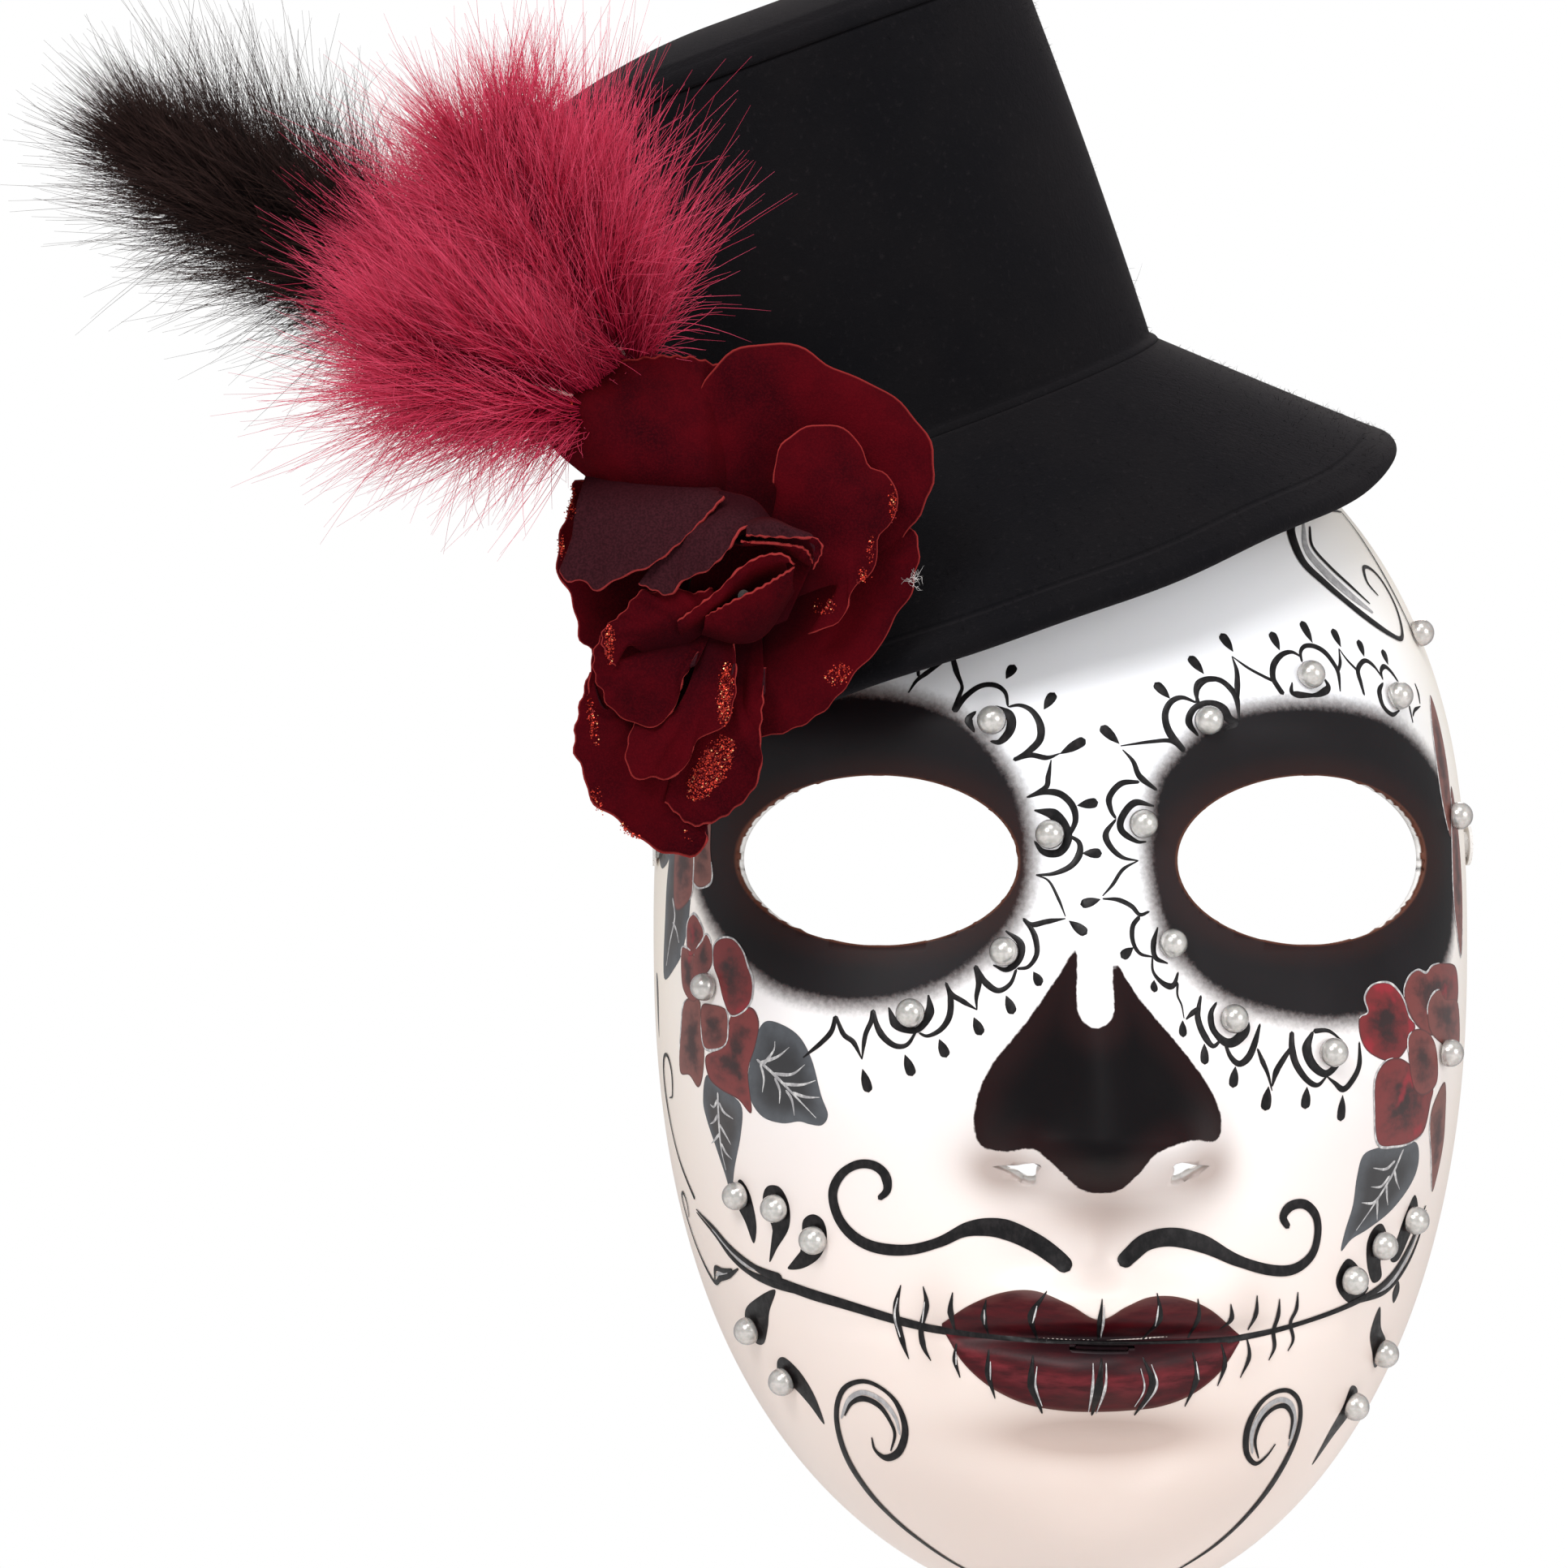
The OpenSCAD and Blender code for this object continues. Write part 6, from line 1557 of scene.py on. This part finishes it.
def layer_profile(low, high, count=40):
    """A brim layer between two heights above the stiffener's line, with a soft outer edge."""
    def at(share_from, share_to, level):
        a = BRIM_IN + level * BRIM_NORMAL
        b = BRIM_OUT + level * BRIM_NORMAL
        return a + (b - a) * np.linspace(share_from, share_to, count)[:, None]
    middle = BRIM_OUT + 0.5 * (low + high) * BRIM_NORMAL
    lean = math.degrees(math.atan2(BRIM_NORMAL[1], BRIM_NORMAL[0]))
    return np.concatenate([at(0, 1, high), round_end(middle, 0.5 * (high - low), lean - 8, lean - 172), at(1, 0, low)])


def felt_material():
    """Black craft felt: matted fibres, a nap with lighter and browner patches, a sewn line at the edge."""
    n = Nodes("black_felt", Roughness=0.95, Specular_IOR_Level=0.08, Sheen_Weight=0.12, Sheen_Roughness=0.6,
              Sheen_Tint=srgb(120, 112, 118))
    fibres = n.noise(1, 5, 0.7, n.stretch((900, 1300, 700)))
    cross = n.noise(1, 5, 0.7, n.stretch((2200, 1500, 2600)))
    patches = n.noise(45, 4)
    colour = n.mix(n.ramp(patches, 0.35, 0.7), srgb(8, 8, 11), srgb(13, 12, 14))
    colour = n.mix(n.ramp(fibres, 0.55, 0.8, 0, 0.5), colour, srgb(40, 36, 38))
    height = n.math("ADD", fibres, n.math("MULTIPLY", cross, 0.7))
    groove = n.math("MULTIPLY", n.ramp(n.attribute("edge"), 0.925, 0.94), n.ramp(n.attribute("edge"), 0.945, 0.96, 1, 0))
    height = n.math("SUBTRACT", height, n.math("MULTIPLY", groove, 2.2))
    return n.finish(Base_Color=colour, Normal=n.bump(height, 0.55, 0.0005))


def card_material():
    n = Nodes("hat_card", Roughness=0.85)
    fibre = n.noise(1, 4, 0.6, n.stretch((300, 900, 300)))
    return n.finish(Base_Color=n.mix(n.ramp(fibre, 0.35, 0.7), srgb(150, 128, 98), srgb(176, 154, 120)),
                    Normal=n.bump(fibre, 0.25, 0.0002))


def wire_material():
    n = Nodes("florist_wire", Metallic=0.9, Roughness=0.35)
    return n.finish(Base_Color=n.mix(n.ramp(n.noise(700, 3), 0.4, 0.6), srgb(150, 150, 152), srgb(110, 108, 106)))


def make_hat():
    felt, card = felt_material(), card_material()
    foot = CROWN_R - FELT
    side = np.concatenate([strip((CROWN_R + 1.3, 0.7), (CROWN_R, 2.4), 6, -0.3), strip((CROWN_R, 3), (CROWN_TOP_R, 76), 50, -0.5),
                           round_end((CROWN_TOP_R - 3, 77), 3, 0, 62, 7), strip((CROWN_TOP_R - 3, 78.4), (foot, 1), 40)])
    crown_side = turned_felt("hat_crown_side_felt", side, felt, "felt", ["hat_crown_side"])
    edge = CROWN_H + GAP + 1.6
    shoulder = round_end((CROWN_TOP_R - 4.4, edge - 3), 4.4, 70, 0, 10)
    over = [(r, edge + 1.0 + CROWN_DOME * (1 - (r / CROWN_TOP_R) ** 2) * 0.9) for r in np.linspace(0.02, CROWN_TOP_R - 4.4, 26)]
    under = [(r, edge - 0.6 + CROWN_DOME * (1 - (r / CROWN_TOP_R) ** 2) * 0.9) for r in np.linspace(CROWN_TOP_R - 3.6, 0.02, 26)]
    top = np.concatenate([over, shoulder, [(CROWN_TOP_R - 0.6, 79.2), (CROWN_TOP_R - 1.6, 79.6)], under])
    crown_top = turned_felt("hat_crown_top_felt", top, felt, "felt", ["hat_crown_top"])
    upper = turned_felt("hat_brim_upper_felt", upper_profile(), felt, "felt", ["hat_brim_upper"], brim=True)
    under_side = layer_profile(-2 * GAP - BOARD - FELT, -2 * GAP - BOARD)
    lower = turned_felt("hat_brim_lower_felt", under_side, felt, "felt", ["hat_brim_lower"], brim=True)
    turned_felt("hat_brim_board", layer_profile(-GAP - BOARD, -GAP), card, "card", ["hat_brim_stiffener"], brim=True)
    wire = round_end(BRIM_OUT + 0.9 * BRIM_DIR - 0.5 * BRIM_NORMAL, 0.6, 0, 330, 12)
    turned_felt("hat_brim_edge_wire", wire, wire_material(), "wire", ["hat_brim_wire"], brim=True)
    return felt, card


def upper_profile():
    """The upper felt runs over the wire and turns under the lower felt's edge."""
    high = layer_profile(0, FELT)[:40]
    centre = BRIM_OUT + 0.9 * BRIM_DIR - 0.5 * BRIM_NORMAL
    lean = math.degrees(math.atan2(BRIM_NORMAL[1], BRIM_NORMAL[0]))
    outside = round_end(centre, 2.0, lean, lean - 172, 16)
    inside = round_end(centre, 0.75, lean - 172, lean, 10)
    tuck = [centre - 2.75 * BRIM_NORMAL - 2.2 * BRIM_DIR, centre - 2.0 * BRIM_NORMAL - 2.2 * BRIM_DIR]
    return np.concatenate([high[:-1], outside, tuck, inside, layer_profile(0, FELT)[-40:]])


def hat_surface(rng, count):
    """Random places on the crown and brim with their outward directions."""
    cos, sin, shift = oval_ring()
    k = rng.integers(0, len(cos), count)
    on_crown = rng.random(count) < 0.5
    t = rng.random(count)
    brim_at = BRIM_IN + (BRIM_OUT + 1.6 * BRIM_DIR - BRIM_IN) * np.sqrt(t)[:, None] + FELT * BRIM_NORMAL
    r = np.where(on_crown, CROWN_R + (CROWN_TOP_R - CROWN_R) * t, brim_at[:, 0])
    z = np.where(on_crown, 2 + 76 * t, brim_at[:, 1])
    out_r = np.where(on_crown, 1.0, BRIM_NORMAL[0])
    out_z = np.where(on_crown, 0.0, BRIM_NORMAL[1])
    at = np.stack([r * cos[k] + shift[k], r * sin[k], z], axis=1)
    share = np.clip((r - BRIM_IN[0]) / (BRIM_R - BRIM_IN[0]), 0, 1.1) * ~on_crown
    lift, trim = brim_shift(np.arctan2(at[:, 1], at[:, 0]), share)
    at += np.stack([-trim * cos[k], -trim * sin[k], lift], axis=1)
    out = np.stack([out_r * cos[k], out_r * sin[k], out_z], axis=1)
    turn = np.array(HAT_TURN).T
    return HAT_AT + at @ turn, out @ turn


def make_felt_fuzz(material):
    """Short fibres standing off the felt, and a few long stray hairs."""
    rng = np.random.default_rng(21)
    at, out = hat_surface(rng, 9000)
    way = unit(0.55 * out + rng.normal(0, 0.6, out.shape))
    bend = rng.normal(0, 0.5, out.shape)
    t = np.linspace(0, 1, 4)[None, :, None]
    long = rng.uniform(0.4, 1.3, (len(at), 1, 1))
    curves = at[:, None] + long * (way[:, None] * t + bend[:, None] * t**2 * 0.5)
    hairs("hat_felt_fuzz", curves, 0.035, material, "felt")
    at, out = hat_surface(rng, 60)
    way = unit(0.25 * out + rng.normal(0, 0.6, out.shape))
    bend = rng.normal(0, 0.6, out.shape)
    t = np.linspace(0, 1, 12)[None, :, None]
    curves = at[:, None] + out[:, None] * 0.1 + rng.uniform(3, 11, (60, 1, 1)) * (way[:, None] * t * 0.7 + bend[:, None] * t**2 * 0.5)
    hairs("hat_stray_hairs", curves, 0.04, material, "felt")


hat_felt, hat_card = make_hat()
make_felt_fuzz(hat_felt)

# ---- the marabou feathers ----------------------------------------------------------

BINDING_AT = np.array([-80.0, -80.0, 80.0])
# lift off the binding, angle, where the down starts and ends, half width, how far the barbs turn in
# towards the tip, tufts in a piece and pieces
PLUMES = {
    "black_feather": (5, 28, 40, 114, 14, 42, 225, 4),
    "red_feather_low": (-5, 34, 10, 57, 15, 30, 225, 3),
    "red_feather_high": (-14, 56, 10, 62, 15, 20, 225, 3),
    "red_feather_short": (-23, 13, 10, 52, 14, 26, 225, 2),
}
TUFT = 16


def plume_curves(rng, start, end, half, turn_in, tufts):
    """Barbs in the feather's own frame: x along the quill, z across it, y off the face of it."""
    t = rng.random(tufts) ** 0.85
    side = rng.choice([-1.0, 1.0], tufts)
    lean = np.radians(60 - turn_in * t + rng.normal(0, 9, tufts))
    roll = rng.normal(0, 0.55, tufts)
    length = half * (0.75 + 0.75 * np.sin(math.pi * np.clip(t * 0.8 + 0.16, 0, 1))) * rng.uniform(0.75, 1.25, tufts)
    way = np.stack([np.cos(lean), np.sin(lean) * np.sin(roll), side * np.sin(lean) * np.cos(roll)], axis=1)
    root = np.stack([start + (end - start) * t * 0.9, np.zeros(tufts), np.zeros(tufts)], axis=1)
    droop = rng.normal(0, 0.28, (tufts, 3)) + np.array([0.25, 0, -0.12])
    spread = rng.normal(0, 0.2, (tufts, TUFT, 3))
    reach = length[:, None] * rng.uniform(0.55, 1.12, (tufts, TUFT))
    s = np.linspace(0, 1, 10)[None, None, :, None]
    wave = rng.normal(0, 0.5, (tufts, TUFT, 1, 3)) * np.sin(s * math.pi * rng.uniform(1, 2.4, (tufts, TUFT, 1, 1)))
    curve = (root[:, None, None] + rng.normal(0, 0.8, (tufts, TUFT, 1, 3)) * (1, 0.3, 0.3)
             + reach[..., None, None] * s * (way[:, None, None] + spread[:, :, None] * np.sqrt(s) + droop[:, None, None] * s**1.5)
             + wave * s * 1.3)
    return curve.reshape(-1, 10, 3)


def plume_points(points, lift, angle):
    """The feather's frame to the row's, in mm: the quill points up and to the left."""
    a = math.radians(angle)
    x, y, z = points[..., 0], points[..., 1], points[..., 2]
    return BINDING_AT + np.stack([-x * math.cos(a) - z * math.sin(a), y + lift * smooth01((x - 2) / 26), x * math.sin(a) - z * math.cos(a)], axis=-1)


def down_material(name, core, body, tip):
    n = Nodes(name, Roughness=0.7, Specular_IOR_Level=0.06)
    along, tone = n.attribute("along"), n.attribute("tone")
    colour = n.mix(n.ramp(along, 0.05, 0.5), core, body)
    colour = n.mix(n.math("MULTIPLY", n.ramp(along, 0.4, 1.0), n.ramp(tone, 0.1, 0.9, 0.3, 1)), colour, tip)
    return n.finish(Base_Color=colour)


def held_back(y):
    """Barbs that would reach far out in front lean back, softly, before they are 124 mm out."""
    over = np.maximum(-112 - y, 0)
    return y + over - 12 * (1 - np.exp(-over / 12))


def make_quill(name, lift, angle, reach, material):
    """A bare quill that leaves the binding and bends out to its feather's own depth, tapering all along."""
    x = np.linspace(0, reach, 40)
    line = plume_points(np.stack([x, 0 * x, 0 * x], axis=-1), lift, angle)
    ahead = unit(np.gradient(line, axis=0))
    side = unit(np.cross(ahead, (0, 1, 0)))
    other = np.cross(ahead, side)
    r = (0.75 * (1 - 0.7 * x / reach))[:, None]
    turns = np.linspace(0, 2 * math.pi, 16, endpoint=False)
    verts = np.stack([line + r * (math.cos(b) * side + math.sin(b) * other) for b in turns], axis=1).reshape(-1, 3)
    rings = np.arange(40 * 16).reshape(40, 16)
    following = np.roll(rings, -1, axis=1)
    faces = np.stack([rings[:-1], following[:-1], following[1:], rings[1:]], axis=-1).reshape(-1, 4).tolist()
    faces += [tuple(int(i) for i in rings[0][::-1]), tuple(int(i) for i in rings[-1])]
    obj = new_object(f"{name}_shaft", verts, faces, material)
    turn_outwards(obj)
    return place(obj, "quill", name + "_quill")


def quill_material():
    n = Nodes("quill_horn", Roughness=0.35, Coat_Weight=0.2)
    streak = n.noise(1, 3, 0.5, n.stretch((500, 200, 500)))
    return n.finish(Base_Color=n.mix(n.ramp(streak, 0.35, 0.7), srgb(176, 96, 104), srgb(214, 178, 172)))


def make_plumes():
    black = down_material("black_marabou", srgb(6, 4, 6), srgb(12, 8, 10), srgb(66, 48, 44))
    red = down_material("red_marabou", srgb(122, 8, 34), srgb(178, 34, 64), srgb(224, 84, 114))
    horn = quill_material()
    for number, (name, (lift, angle, start, end, half, turn_in, tufts, parts)) in enumerate(PLUMES.items()):
        is_black = name.startswith("black")
        make_quill(name, lift, angle, end - 4, horn)
        for part in range(parts):
            rng = np.random.default_rng(100 + 10 * number + part)
            curves = plume_curves(rng, start, end, half, turn_in, tufts)
            world = plume_points(curves, lift, angle)
            world[..., 1] = held_back(world[..., 1])
            hairs(f"{name}_down_{part}", world, 0.1 if is_black else 0.11, black if is_black else red,
                  "black_down" if is_black else "red_down", name + "_plume")


make_plumes()

# ---- the pieces shown as the CAD model has them ------------------------------------


def glue_material():
    """Cloudy hot-melt glue."""
    n = Nodes("hot_glue", Roughness=0.25, Subsurface_Weight=0.3)
    cloud = n.ramp(n.noise(260, 4), 0.35, 0.7)
    return n.finish(Base_Color=n.mix(cloud, srgb(222, 214, 190), srgb(196, 184, 152)), Normal=n.bump(cloud, 0.3, 0.0003))


def ribbon_material():
    """Ribbed black grosgrain of the sweatband."""
    n = Nodes("grosgrain", Roughness=0.6, Sheen_Weight=0.2)
    ribs = n.add("TexWave", 1, {"bands_direction": "Z"}, Vector=n.place(), Scale=420.0, Distortion=0.6)
    return n.finish(Base_Color=n.mix(ribs, srgb(16, 14, 16), srgb(34, 31, 34)), Normal=n.bump(ribs, 0.4, 0.0003))


def dyed_material(name, dark, light, scale, roughness=0.85):
    """Felt, tape or thread: two dyed tones in a fine fibre."""
    n = Nodes(name, Roughness=roughness, Sheen_Weight=0.15)
    fibre = n.noise(1, 4, 0.65, n.stretch((scale, 0.6 * scale, 1.4 * scale)))
    return n.finish(Base_Color=n.mix(n.ramp(fibre, 0.35, 0.7), dark, light), Normal=n.bump(fibre, 0.45, 0.0004))


def finish_cad_pieces():
    finish_cad(hat_card, "hat_crown_former", "hat_crown_top_former")
    finish_cad(ribbon_material(), "hat_sweatband")
    finish_cad(glue_material(), "hat_glue_pads", "rose_glue_pad")
    finish_cad(dyed_material("backing_felt", srgb(22, 46, 26), srgb(40, 72, 40), 900), "rose_backing")
    finish_cad(dyed_material("stem_tape", srgb(20, 14, 12), srgb(44, 26, 20), 1500, 0.6), "rose_stem_wire")
    finish_cad(dyed_material("binding_thread", srgb(60, 8, 18), srgb(104, 18, 34), 2200, 0.6), "feather_binding")


def make_floor():
    """A plain pale floor under the mask, ending before the photo's view would show it."""
    corners = [(-1500, -1500, -175), (1500, -1500, -175), (1500, 125, -175), (-1500, 125, -175)]
    material = Nodes("pale_floor", Roughness=0.9).finish(Base_Color=srgb(236, 236, 236))
    new_object("floor", corners, [(0, 1, 2, 3)], material)


finish_cad_pieces()
make_floor()
